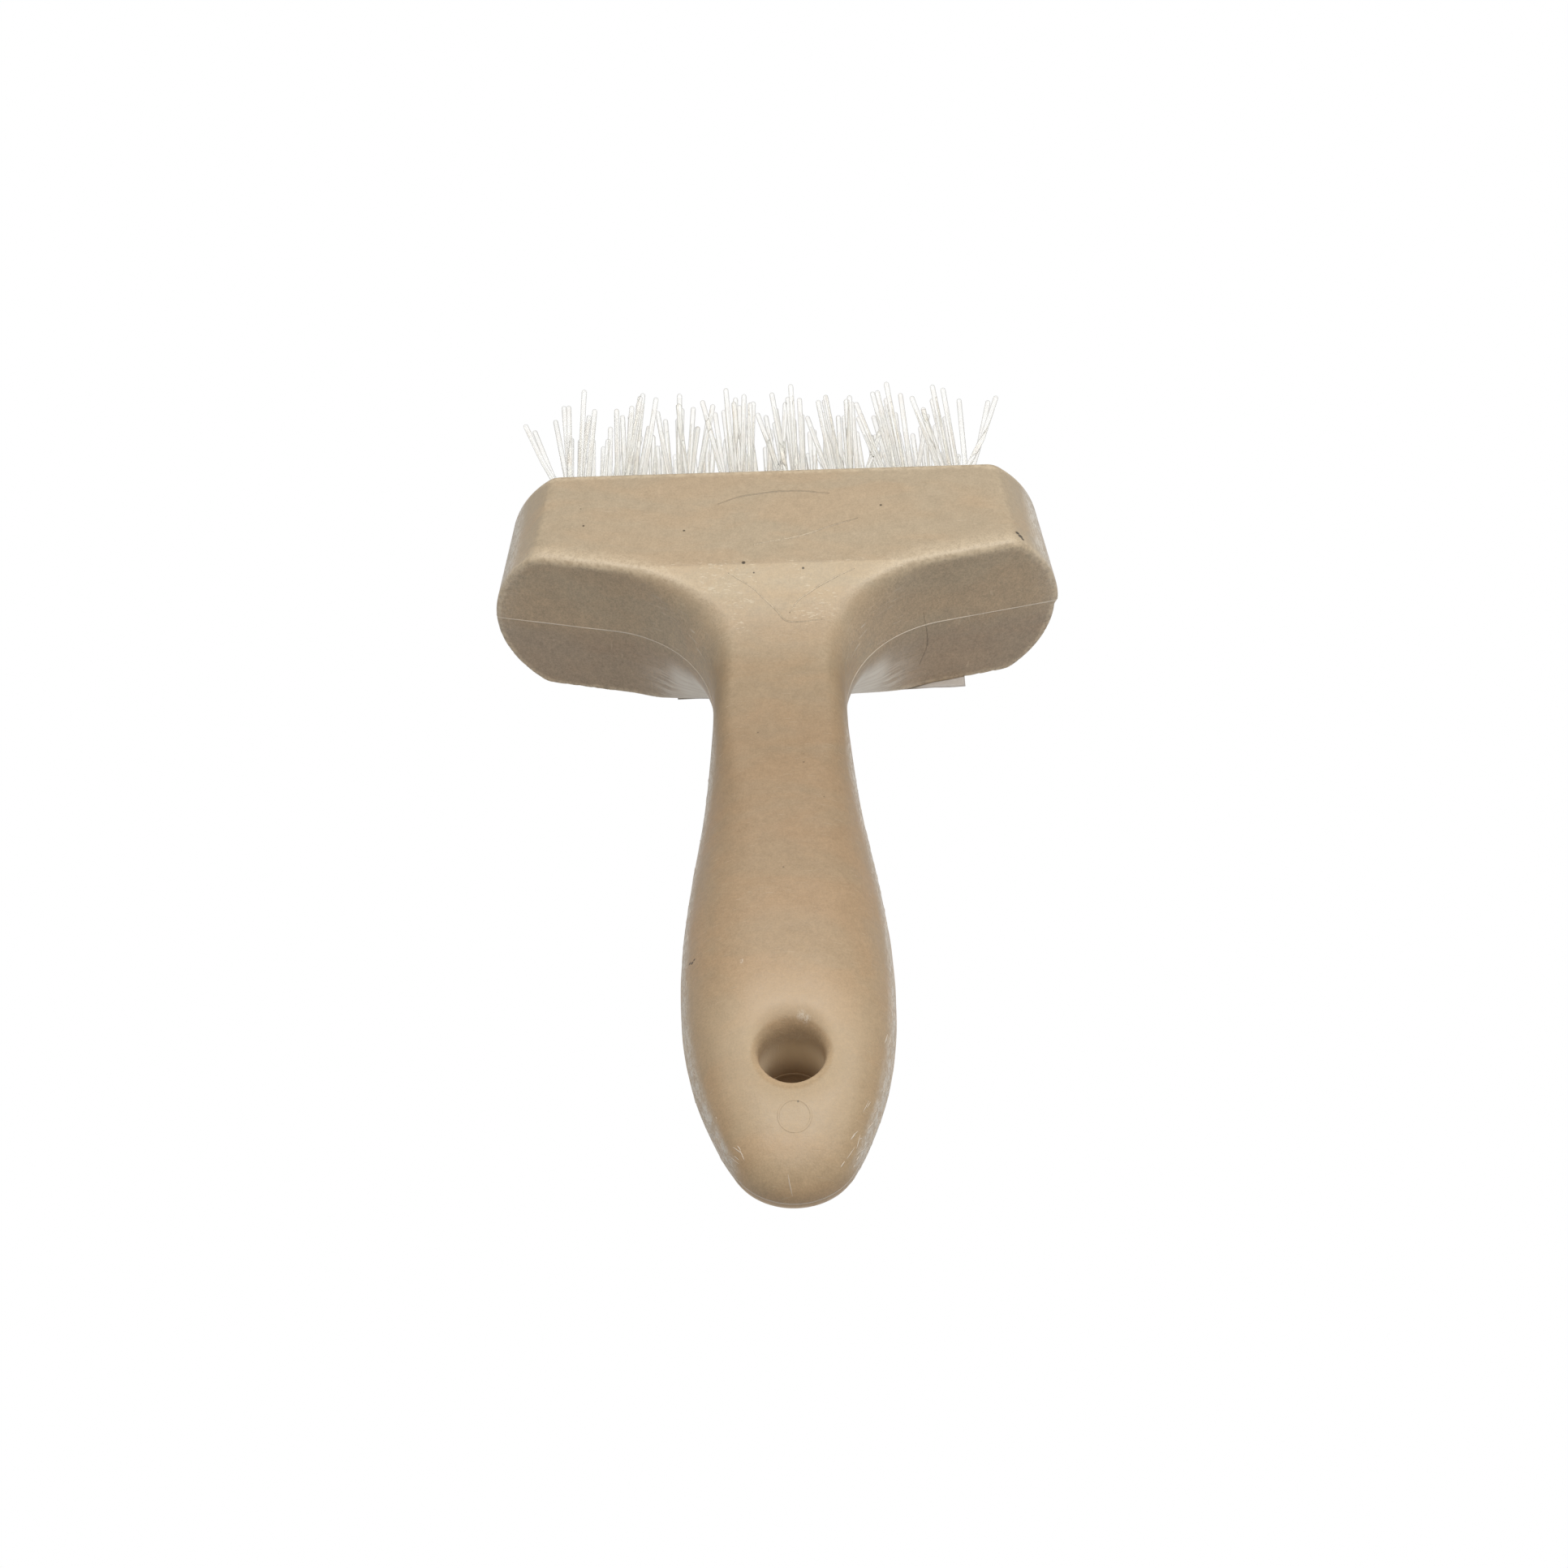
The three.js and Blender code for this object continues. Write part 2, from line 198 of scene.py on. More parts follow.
class PlanDistance:
    """Signed distance from the plan outline, negative inside, read from a fine grid."""

    STEP = 0.15

    def __init__(self):
        self.xs = np.arange(0, HALF_WIDTH + 4, self.STEP)
        self.ys = np.arange(TIP_Y - 3, HEAD_DEPTH + 3, self.STEP)
        grid_x, grid_y = np.meshgrid(self.xs, self.ys, indexing="ij")
        points = np.column_stack([grid_x.ravel(), grid_y.ravel()])
        nearest = np.full(len(points), 1e9)
        for start, end in zip(OUTLINE, OUTLINE[1:]):
            along = end - start
            share = np.clip((points - start) @ along / (along @ along), 0, 1)
            off = points - start - share[:, None] * along
            nearest = np.minimum(nearest, np.einsum("ij,ij->i", off, off))
        distance = np.sqrt(nearest)
        self.values = np.where(self.inside(points[:, 0], points[:, 1]), -distance, distance)
        self.values = self.values.reshape(grid_x.shape)

    @staticmethod
    def inside(x, y):
        edge = OUTLINE[:-1]
        beside = (y > TIP_Y) & (x < np.interp(y, edge[:, 1], edge[:, 0]))
        wall_y = WALL_START[1] + math.tan(WALL_SWEEP) * (x - WALL_START[0])
        return np.where(y < WALL_START[1], beside, y > wall_y)

    def __call__(self, x, y):
        across = np.clip(np.abs(x) / self.STEP, 0, len(self.xs) - 1.001)
        along = np.clip((y - self.ys[0]) / self.STEP, 0, len(self.ys) - 1.001)
        i, j = across.astype(int), along.astype(int)
        s, t = across - i, along - j
        v = self.values
        return ((v[i, j] * (1 - s) + v[i + 1, j] * s) * (1 - t)
                + (v[i, j + 1] * (1 - s) + v[i + 1, j + 1] * s) * t)


plan_distance = PlanDistance()


def along_handle():
    """Rows of y, half-thickness and the two reaches of the section's rounding."""
    y = np.arange(TIP_Y - 4, HEAD_DEPTH + 4, 0.05)
    facet_end = HALF_HEIGHT - FACET_SLOPE * (CREASE_Y - FACET_END_Y)
    curve = spline([(TIP_Y, TIP_HALF_THICKNESS)] + THICKNESS + [(FACET_END_Y, facet_end)])
    thickness = value_at(curve, y)
    facet = HALF_HEIGHT - FACET_SLOPE * np.maximum(0, CREASE_Y - y)
    thickness = np.where(y > FACET_END_Y, facet, thickness)

    rounding = spline(ROUNDING)
    across = value_at(rounding, y)
    down = np.minimum(value_at(rounding, y, 2), thickness)
    return np.column_stack([y, thickness, across, down])


ALONG = along_handle()


def smooth_max(a, b, radius):
    """The larger of two distances, rounded where they meet."""
    blend = np.maximum(radius - np.abs(a - b), 0) / radius
    return np.maximum(a, b) + blend * blend * radius / 4


# The last stretch of the handle drifts a little to one side.
END_DRIFT = 0.3
END_DRIFT_FROM_Y = -68.0

# The lower half of the moulding. Its rounding is a share of the upper half's, as (y, share): larger by
# the neck and crisp on the head. Its walls stand nearly upright, and its right end stands in a little.
LOWER_ROUNDING = np.array([(-30, 1), (-14, 1.3), (-9, 1.3), (-6.8, 0.85), (-4.8, 0.25)])
LOWER_DRAFT_SHARE = 0.1
LOWER_END_STEP = 0.45

# How much thicker the lower half is than the upper one, as (y, extra): it has a low lip instead of the
# facet behind a crease, and turns up more sharply to the neck.
LOWER_EXTRA = spline([(-30, 0), (-20, -0.6), (-14, -1.9), (-11, -2.7), (-9, -2.6), (-7.3, -1.5),
                      (-6, -0.6), (-5, 0.0), (-4, 0.4), (-2.2, 0.3), (0, 0.1), (2.5, 0)])


def end_drift(y):
    """How far the handle's section is shifted towards +X at y."""
    share = np.clip((END_DRIFT_FROM_Y - y) / (END_DRIFT_FROM_Y - TIP_Y), 0, 1)
    return END_DRIFT * np.sqrt(share) * share


def body_field(x, y, z):
    """Roughly the distance to the body's surface, negative inside."""
    x = x - end_drift(y)
    lift = np.abs(z)
    below = z < 0
    thickness = value_at(ALONG, y) + np.where(below, value_at(LOWER_EXTRA, y), 0)
    softer = np.where(below, value_at(LOWER_ROUNDING, y), 1)
    across = value_at(ALONG, y, 2) * softer
    down = np.minimum(value_at(ALONG, y, 3) * softer, thickness)
    draft = WALL_DRAFT * np.where(below, LOWER_DRAFT_SHARE, 1)
    beside = plan_distance(x, y) + draft * lift
    over = lift - thickness
    corner_u = np.maximum(beside + across, 0) / across
    corner_v = np.maximum(over + down, 0) / down
    corner = (corner_u**SECTION_POWER + corner_v**SECTION_POWER + 1e-12) ** (1 / SECTION_POWER)
    scale = (across * corner_u + down * corner_v + 1e-9) / (corner_u + corner_v + 1e-9)
    shell = np.where(corner > 1e-3, (corner - 1) * scale, np.maximum(beside, over))

    arc_x = HALF_WIDTH - END_RADIUS - HEAD_TAPER / HEAD_DEPTH * y
    arc_x = arc_x - np.where(x > 0, LOWER_END_STEP * np.clip(0.2 - z, 0, 1), 0)
    end = np.hypot(np.maximum(np.abs(x) - arc_x, 0), z) - END_RADIUS
    on_head = y > TIP_Y / 4
    block = np.where(on_head, smooth_max(shell, end, END_EDGE_RADIUS), shell)
    block = smooth_max(block, y - FRONT_Y, FRONT_EDGE_RADIUS)
    off_x, off_y = x + end_drift(y) - HANG_HOLE_X, y - HANG_HOLE_Y
    reach = np.hypot(off_x, off_y)
    bore = HANG_HOLE_RADIUS - reach

    # The lip round the hole is tight towards the tip and opens out towards the head.
    far = 0.5 + 0.5 * off_y / np.maximum(reach, 1e-6)
    lip = HANG_HOLE_NEAR_LIP + (HANG_HOLE_FAR_LIP - HANG_HOLE_NEAR_LIP) * far**1.5
    return np.where(bore > -6, smooth_max(block, bore, lip), block)


def surface_net(sides, field):
    """Points and quads of the zero surface of a field that is sampled at even steps along three sides."""
    shape = np.array(field.shape) - 1
    inside = field < 0
    corners = [(i, j, k) for i in (0, 1) for j in (0, 1) for k in (0, 1)]

    def part(array, offset):
        return array[tuple(slice(o, o + n) for o, n in zip(offset, shape))]

    count = sum(part(inside, c).astype(np.int8) for c in corners)
    cells = np.argwhere((count > 0) & (count < 8))
    total = np.zeros((len(cells), 3))
    crossings = np.zeros(len(cells))
    for axis in range(3):
        step = np.eye(3, dtype=int)[axis]
        for start in corners:
            if start[axis]:
                continue
            a = cells + np.array(start)
            b = a + step
            fa, fb = field[tuple(a.T)], field[tuple(b.T)]
            crossed = (fa < 0) != (fb < 0)
            share = np.where(crossed, fa / np.where(crossed, fa - fb, 1), 0)
            total += np.where(crossed[:, None], a + share[:, None] * step, 0)
            crossings += crossed
    origin = np.array([side[0] for side in sides])
    points = origin + total / crossings[:, None] * (sides[0][1] - sides[0][0])

    number = np.full(shape, -1, np.int64)
    number[tuple(cells.T)] = np.arange(len(cells))
    quads = []
    for axis in range(3):
        one, two = [(1, 2), (2, 0), (0, 1)][axis]
        lower = [slice(1, -1)] * 3
        upper = [slice(1, -1)] * 3
        lower[axis], upper[axis] = slice(0, -1), slice(1, None)
        flips = np.argwhere(inside[tuple(lower)] != inside[tuple(upper)])
        flips[:, one] += 1
        flips[:, two] += 1
        back_one, back_two = np.eye(3, dtype=int)[one], np.eye(3, dtype=int)[two]
        ring = [flips, flips - back_one, flips - back_one - back_two, flips - back_two]
        quad = np.column_stack([number[tuple(cell.T)] for cell in ring])
        outward = inside[tuple(flips.T)]
        quad[~outward] = quad[~outward][:, ::-1]
        quads.append(quad)
    return points, np.vstack(quads)


def pull_to_surface(points, rounds=4):
    """Newton steps that put points on the body's surface, and the surface's normals there."""
    reach = 0.02
    for _ in range(rounds):
        value = body_field(*points.T)
        slope = np.empty_like(points)
        for axis, offset in enumerate(reach * np.eye(3)):
            slope[:, axis] = body_field(*(points + offset).T) - body_field(*(points - offset).T)
        slope /= 2 * reach
        length = np.einsum("ij,ij->i", slope, slope)[:, None]
        step = value[:, None] * slope / np.maximum(length, 0.04)
        size = np.linalg.norm(step, axis=1, keepdims=True)
        points = points - step * np.minimum(1, 0.3 / np.maximum(size, 1e-9))
    return points, slope / np.sqrt(np.maximum(length, 1e-9))


def relax(points, quads, normals, rounds=2):
    """Evens out the spacing of the points along the surface."""
    sides = [(0, 1), (1, 2), (2, 3), (3, 0)]
    for _ in range(rounds):
        total = np.zeros_like(points)
        count = np.zeros(len(points))
        for p, q in [pair for side in sides for pair in (side, side[::-1])]:
            np.add.at(total, quads[:, p], points[quads[:, q]])
            np.add.at(count, quads[:, p], 1)
        drift = total / count[:, None] - points
        drift -= np.einsum("ij,ij->i", drift, normals)[:, None] * normals
        points, normals = pull_to_surface(points + 0.5 * drift, 2)
    return points, normals


def body_shape(step):
    """The body's points, quads and normals, with no tuft holes yet."""
    margin = 1.5
    spans = [(-HALF_WIDTH, HALF_WIDTH), (TIP_Y, FRONT_Y), (-HALF_HEIGHT, HALF_HEIGHT)]
    sides = [np.arange(low - margin, high + margin + step, step) for low, high in spans]
    field = body_field(*np.meshgrid(*sides, indexing="ij"))
    points, quads = surface_net(sides, field)
    points, normals = pull_to_surface(points)
    points, normals = relax(points, quads, normals)
    return points, quads, normals


def bend_of_surface(points, quads, normals, rounds):
    """How strongly the surface bends outwards (positive) or inwards at each point, spread a little."""
    pairs = np.vstack([quads[:, [i, (i + 1) % 4]] for i in range(4)])
    start, end = pairs.T
    along = points[end] - points[start]
    turn = np.einsum("ij,ij->i", normals[end] - normals[start], along)
    turn /= np.maximum(np.einsum("ij,ij->i", along, along), 1e-6)

    def gather(at_start, at_end):
        return np.bincount(start, at_start, len(points)) + np.bincount(end, at_end, len(points))

    ones = np.ones(len(start))
    count = gather(ones, ones)
    bend = gather(turn, turn) / count
    for _ in range(rounds):
        bend = 0.5 * bend + 0.5 * gather(bend[end], bend[start]) / count
    return bend


TUFT_NAMES = sorted(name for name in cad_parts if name.startswith("tuft_"))
HOLE_RADIUS = 2.5
HOLE_DEPTH = 12.0
HOLE_CHAMFER = 0.3
HOLE_SIDES = 28
DRILL_POINT = 0.7


def tuft_centre(name):
    """Where a tuft's axis crosses the bristle face, as x and z in the layout."""
    low, high = layout_box(name)
    return (low[0] + high[0]) / 2, (low[2] + high[2]) / 2


def drill_cutter():
    """One closed solid of revolution for each tuft, together in one mesh."""
    bottom = FRONT_Y - HOLE_DEPTH
    profile = [(HOLE_RADIUS, bottom), (HOLE_RADIUS, FRONT_Y - HOLE_CHAMFER),
               (HOLE_RADIUS + HOLE_CHAMFER + 0.5, FRONT_Y + 0.5)]
    points, faces = [], []
    for name in TUFT_NAMES:
        x, z = tuft_centre(name)
        first = len(points)
        for radius, y in profile:
            for side in range(HOLE_SIDES):
                angle = 2 * math.pi * side / HOLE_SIDES
                points.append((x + radius * math.cos(angle), y, z + radius * math.sin(angle)))
        tip = len(points)
        points.append((x, bottom - DRILL_POINT, z))
        faces += [(tip, first + side, first + (side + 1) % HOLE_SIDES) for side in range(HOLE_SIDES)]
        faces += [face[::-1] for face in band_faces(first, len(profile), HOLE_SIDES)]
        last = tip - HOLE_SIDES
        faces.append(tuple(last + side for side in range(HOLE_SIDES - 1, -1, -1)))
    return new_mesh_object("drill_cutter", points, faces)


def drill(piece):
    """Cuts the blind tuft holes, and keeps their rims crisp."""
    cutter = drill_cutter()
    for name in ("skin", "bore"):
        marker = bpy.data.materials.new(name)
        cutter.data.materials.append(marker)
        piece.data.materials.append(marker)
    cutter.data.polygons.foreach_set("material_index", [1] * len(cutter.data.polygons))
    cut = piece.modifiers.new("holes", "BOOLEAN")
    cut.operation = "DIFFERENCE"
    cut.solver = "EXACT"
    cut.object = cutter
    evaluated = piece.evaluated_get(bpy.context.evaluated_depsgraph_get())
    drilled = bpy.data.meshes.new_from_object(evaluated)
    piece.modifiers.clear()
    piece.data = drilled
    bpy.data.objects.remove(cutter)

    work = bmesh.new()
    work.from_mesh(drilled)
    for edge in work.edges:
        kinds = [face.material_index for face in edge.link_faces]
        rim = len(set(kinds)) == 2
        step = sum(kinds) == 2 and edge.calc_face_angle(0) > math.radians(30)
        edge.smooth = not (rim or step)
    for face in work.faces:
        face.material_index = 0
        face.smooth = True
    work.to_mesh(drilled)
    work.free()
    drilled.materials.clear()


BODY_STEP = 0.42


def build_body(material):
    """The drilled moulding, which also carries how sharply it bends and how far in from its edge it is."""
    points, quads, normals = body_shape(BODY_STEP)
    piece = new_mesh_object("brush_body", points, quads)
    set_attribute(piece, "bend", bend_of_surface(points, quads, normals, rounds=round(1.2 / BODY_STEP**2)))
    x, y, _ = points.T
    set_attribute(piece, "inset", -plan_distance(x - end_drift(y), y))
    drill(piece)
    finish_piece(piece, material, "body", "body")


# ---- Raised lines that the mould leaves ----


def resample(path, step, closed=False):
    """Points at even steps along a path."""
    path = np.asarray(path, float)
    if closed:
        path = np.vstack([path, path[:1]])
    reach = np.concatenate([[0], np.cumsum(np.linalg.norm(np.diff(path, axis=0), axis=1))])
    count = max(2, round(reach[-1] / step) + 1)
    wanted = np.linspace(0, reach[-1], count)
    even = np.column_stack([np.interp(wanted, reach, path[:, axis]) for axis in range(3)])
    return even[:-1] if closed else even


def smooth_random(count, spacing, seed):
    """Numbers between 0 and 1 that change slowly along a path, with a new value every so many steps."""
    draw = np.random.default_rng(seed)
    knots = draw.random(int(count / spacing) + 4)
    where = np.arange(count) / spacing
    i = where.astype(int)
    t = where - i
    t = t * t * (3 - 2 * t)
    return knots[i] * (1 - t) + knots[i + 1] * t


def ridge(path, normals, width, height, closed=False):
    """Points and faces of a thin raised line on the surface: a low hump with its foot under the skin."""
    count = len(path)
    if closed:
        ahead, behind = np.roll(path, -1, axis=0), np.roll(path, 1, axis=0)
    else:
        ahead, behind = np.vstack([path[1:], path[-1:]]), np.vstack([path[:1], path[:-1]])
    along = ahead - behind
    along /= np.linalg.norm(along, axis=1, keepdims=True)
    sideways = np.cross(normals, along)
    sideways /= np.linalg.norm(sideways, axis=1, keepdims=True)
    section = [(-0.5, -0.3), (-0.32, 0.45), (-0.1, 0.95), (0.1, 0.95), (0.32, 0.45), (0.5, -0.3)]
    width = np.broadcast_to(width, count)[:, None]
    height = np.broadcast_to(height, count)[:, None]
    rings = [path + sideways * u * width + normals * v * height for u, v in section]
    points = np.stack(rings, axis=1).reshape(-1, 3)
    sides = len(section)
    faces = band_faces(0, count, sides, closed)
    if not closed:
        faces.append(tuple(range(sides - 1, -1, -1)))
        faces.append(tuple((count - 1) * sides + j for j in range(sides)))
    return points, faces


def parting_path():
    """The body's outline on the parting plane, from one front corner round the handle to the other."""
    edge = OUTLINE[:-1]
    wall_x = HALF_WIDTH - 0.5
    wall_end = (wall_x, WALL_START[1] + math.tan(WALL_SWEEP) * (wall_x - WALL_START[0]))
    front_end = (HALF_WIDTH - HEAD_TAPER, FRONT_Y - 0.9)
    half = np.vstack([edge, wall_end, (HALF_WIDTH, 0.5), front_end])
    whole = np.vstack([half[::-1] * (-1, 1), half])
    path = resample(np.column_stack([whole, np.zeros(len(whole))]), PARTING_STEP)
    path, _ = pull_to_surface(path, 6)
    path = resample(path, PARTING_STEP)
    return pull_to_surface(path, 6)


PARTING_STEP = 0.4
FLASH_WIDTH = 0.2
FLASH_HEIGHT = 0.09


def build_parting_flash(material):
    """The uneven line of flash along the parting plane, which is worn low at the handle's end."""
    path, normals = parting_path()
    rise = 0.35 + 0.65 * smooth_random(len(path), 9, seed=3)
    rise *= np.interp(path[:, 1], (-101, -93), (0.2, 1.0))
    path[:, 2] += 0.05 * (smooth_random(len(path), 14, seed=4) - 0.5)
    width = FLASH_WIDTH * (0.8 + 0.4 * smooth_random(len(path), 6, seed=5))
    shape = ridge(path, normals, width, FLASH_HEIGHT * rise)
    finish_piece(new_mesh_object("parting_flash", *shape), material, "body")


def circle_path(x, y, z, radius, count):
    """Points round a level circle."""
    turns = np.linspace(0, 2 * math.pi, count, endpoint=False)
    return np.column_stack([x + radius * np.cos(turns), y + radius * np.sin(turns), np.full(count, z)])


BORE_FLASH_Z = -1.9


def build_bore_flash(material):
    """The same thin web where the mould's pins met, half-way down the hanging hole."""
    path = circle_path(HANG_HOLE_X, HANG_HOLE_Y, BORE_FLASH_Z, HANG_HOLE_RADIUS, 60)
    path, normals = pull_to_surface(path, 3)
    shape = ridge(path, normals, 0.3, 0.14, closed=True)
    finish_piece(new_mesh_object("bore_flash", *shape), material, "body")


EJECTOR_Y = -94.6
EJECTOR_X = 0.42
EJECTOR_RADIUS = 2.05


def build_ejector_ring(material):
    """The round witness line of an ejector pin, on the slope at the handle's end."""
    count = 72
    path = circle_path(EJECTOR_X, EJECTOR_Y, 5.5, EJECTOR_RADIUS, count)
    for _ in range(6):
        path[:, 2] -= body_field(*path.T)
    path, normals = pull_to_surface(path, 2)
    rise = 0.4 + 0.6 * smooth_random(count, 9, seed=6)
    rise[-6:] = np.linspace(rise[-6], rise[0], 6)
    shape = ridge(path, normals, 0.34, 0.035 * rise, closed=True)
    finish_piece(new_mesh_object("ejector_mark", *shape), material, "body")


# Where streams of plastic met in the mould, as points of the layout; each line is a curve through them.
FLOW_LINES = [
    [(-8.0, 9.9, 12.3), (-4.9, 11.4, 12.3), (2.7, 12.4, 12.3), (7.9, 11.5, 12.3)],
    [(-3.1, 1.6, 12.3), (3.6, 3.1, 12.3), (7.7, 4.7, 12.3), (11.8, 6.3, 12.3)],
    [(-6.7, -3.6, 12.0), (-3.2, -6.3, 11.3), (-0.3, -9.6, 10.5), (1.7, -11.8, 10.1), (6.2, -11.5, 10.1)],
    [(1.7, -10.2, 10.3), (3.7, -7.7, 11.0), (7.9, -5.0, 11.6), (11.0, -3.6, 12.0)],
    [(20.7, -3.2, 2.5), (21.2, -3.0, -3.8), (20.0, -3.2, -7.8)],
]


def build_flow_lines(material):
    """Hair-fine welts along the flow lines, each tapering to nothing at both ends."""
    for number, line in enumerate(FLOW_LINES, 1):
        path = resample(spline(line), 0.35)
        for _ in range(4):
            path, normals = pull_to_surface(path, 3)
        share = np.linspace(0, math.pi, len(path))
        rise = np.sin(share) ** 0.5 * (0.45 + 0.55 * smooth_random(len(path), 7, seed=20 + number))
        path[:, 1] += 0.22 * (smooth_random(len(path), 6, seed=30 + number) - 0.5)
        path, normals = pull_to_surface(path, 3)
        shape = ridge(path, normals, 0.18 + 0.22 * rise, 0.012 + 0.05 * rise)
        finish_piece(new_mesh_object(f"flow_line_{number}", *shape), material, "body")


FLAKES_PER_SIDE = 130
FLAKES_FROM_TO = (-101, -34)
TIP_NICK = [(-0.62, -101.7, 3.2), (-0.5, -102.6, 2.7), (-0.15, -103.6, 1.2)]


def build_flakes(material):
    """Small torn flakes of skin beside the parting line on the handle, and one nick at its end."""
    draw = np.random.default_rng(7)
    edge = OUTLINE[(OUTLINE[:, 1] < -30) & (OUTLINE[:, 1] > TIP_Y + 1.5)]
    paths = [resample(TIP_NICK, 0.2)]
    for hand in (-1, 1):
        for _ in range(FLAKES_PER_SIDE):
            along = draw.uniform(*FLAKES_FROM_TO)
            half = draw.uniform(0.25, 1.1) ** 1.5
            start_z = draw.normal(1.0, 1.7)
            rise = draw.uniform(0.1, 0.7) * half * (1 if draw.random() < 0.8 else -1)
            share = np.linspace(-1, 1, 9)
            y = along + half * share
            x = hand * np.interp(y, edge[:, 1], edge[:, 0]) + end_drift(y)
            paths.append(np.column_stack([x, y, start_z - rise * share]))
    points, faces, first = [], [], 0
    for path in paths:
        path, _ = pull_to_surface(path, 6)
        path, normals = pull_to_surface(path, 3)
        taper = np.sin(np.linspace(0.25, math.pi - 0.25, len(path)))
        size = draw.uniform(0.6, 1.3)
        shape, sides = ridge(path, normals, 0.16 * size * taper, 0.05 * size * taper)
        points.append(shape)
        faces += [[corner + first for corner in face] for face in sides]
        first += len(shape)
    finish_piece(new_mesh_object("torn_flakes", np.vstack(points), faces), material, "body")


# ---- The tufts ----

WIRE_RADIUS = 0.38
WIRE_SIDES = 12
TIP_LENGTH = 19.7

# The wires fold round the anchor this far above the hole's flat bottom.
FOLD_LIFT = 2.55
FOLD_Y = FRONT_Y - HOLE_DEPTH + FOLD_LIFT

# Where one side's wires stand in the hole, as (distance from the anchor's plane, places across).
WIRE_ROWS = [(0.64, (-1.65, -0.55, 0.55, 1.65)),
             (1.48, (-0.6, 0.6))]

# The way each tuft leans, in degrees towards +X, along each row, and how far it leans up.
TUFT_LEANS = {"tuft_top": (-1, 1, 2, -2, -4, -3, -6, -5),
              "tuft_mid": (2, -1, 3, -2, 1, -3, -2),
              "tuft_low": (0, -2, 2, -1, 1, -2, 2, -2)}

# A wire at SPLAY_REACH from the tuft's middle leans out by SPLAY, give or take SPREAD, and the odd
# straggler leans off further to one side. Lengths differ by LENGTH_SCATTER.
SPLAY = math.radians(5.4)
SPLAY_REACH = 1.8
SPREAD = math.radians(2.2)
STRAGGLER_SHARE = 0.07
STRAGGLER_DEGREES = (6, 14)
LENGTH_SCATTER = (-1.6, 1.0)

# Single wires that stand away from their tuft, as (x and z in the tuft, degrees towards +X, bow, length).
STRAY_LIFT = 0.06
STRAYS = {"tuft_top_1": [(-1.65, 0.64, -21.5, -0.3, 16.6)],
          "tuft_top_8": [(1.65, 0.64, 13, 0.2, 18.0), (0.6, 1.48, 20, 0.5, 18.6)]}


def wire_path(x, z, leave, back, lengths, sideways=0.0):
    """One folded wire: out along one direction, and back round the anchor from the other."""
    def leg(side, direction, length):
        start = np.array([x, FRONT_Y - 0.8, side * z])
        straight = [np.array([x, FOLD_Y + 0.4, side * z]), start]
        curve_end = start + np.array([0.5 * direction[0], 1.6, 0.5 * direction[2]])
        bow = np.array([direction[2], 0, -direction[0]]) * 0.25
        if side > 0:
            bow[0] += sideways
        middle = curve_end + direction * (0.5 * (length - 1.6)) + bow
        return straight + [curve_end, middle, curve_end + direction * (length - 1.6)]

    turns = np.linspace(0, math.pi, 9)
    fold = [np.array([x, FOLD_Y - z * math.sin(turn), z * math.cos(turn)]) for turn in turns]
    return leg(1, leave, lengths[0])[::-1] + fold + leg(-1, back, lengths[1])


def tube(path, points, faces):
    """Adds a round wire with domed ends to the lists."""
    radius, sides = WIRE_RADIUS, WIRE_SIDES
    path = np.array(path)
    along = np.gradient(path, axis=0)
    along /= np.linalg.norm(along, axis=1, keepdims=True)
    dome = [(math.cos(turn), math.sin(turn)) for turn in np.radians((75, 50, 25))]
    rings = [(path[0] - along[0] * radius * lift, along[0], radius * wide) for wide, lift in dome]
    rings += [(point, way, radius) for point, way in zip(path, along)]
    rings += [(path[-1] + along[-1] * radius * lift, along[-1], radius * wide) for wide, lift in dome[::-1]]
    across = np.array([1.0, 0, 0])
    first = len(points)
    for centre, way, reach in rings:
        across = across - way * (across @ way)
        across /= np.linalg.norm(across)
        over = np.cross(way, across)
        for side in range(sides):
            angle = 2 * math.pi * side / sides
            points.append(centre + reach * (math.cos(angle) * across + math.sin(angle) * over))
    faces += band_faces(first, len(rings), sides)
    start_tip, end_tip = len(points), len(points) + 1
    points.append(path[0] - along[0] * radius)
    points.append(path[-1] + along[-1] * radius)
    last = first + (len(rings) - 1) * sides
    for j in range(sides):
        k = (j + 1) % sides
        faces.append((start_tip, first + k, first + j))
        faces.append((end_tip, last + j, last + k))


def tuft_mesh(name, lean, seed):
    """All the folded wires of one tuft."""
    draw = random.Random(seed)
    centre_x, centre_z = tuft_centre(name)
    lift = math.radians(draw.uniform(-1.5, 1.5))
    points, faces = [], []

    def direction(x, z):
        tilt_x = math.radians(lean) + SPLAY * x / SPLAY_REACH + draw.gauss(0, SPREAD)
        tilt_z = lift + SPLAY * z / SPLAY_REACH + draw.gauss(0, SPREAD)
        if draw.random() < STRAGGLER_SHARE:
            tilt_x += math.radians(draw.choice((-1, 1)) * draw.uniform(*STRAGGLER_DEGREES))
        way = np.array([math.tan(tilt_x), 1, math.tan(tilt_z)])
        return way / np.linalg.norm(way)

    for z, places in WIRE_ROWS:
        for x in places:
            lengths = [TIP_LENGTH + draw.uniform(*LENGTH_SCATTER) for _ in range(2)]
            leave, bow = direction(x, z), 0.0
            for at_x, at_z, degrees, sideways, length in STRAYS.get(name, []):
                if (at_x, at_z) == (x, z):
                    tilt = math.radians(degrees)
                    leave = np.array([math.sin(tilt), math.cos(tilt), STRAY_LIFT])
                    bow, lengths[0] = sideways, length
            path = wire_path(x, z, leave, direction(x, -z), lengths, bow)
            tube([point + (centre_x, 0, centre_z) for point in path], points, faces)
    return new_mesh_object(name + "_filaments", points, faces)


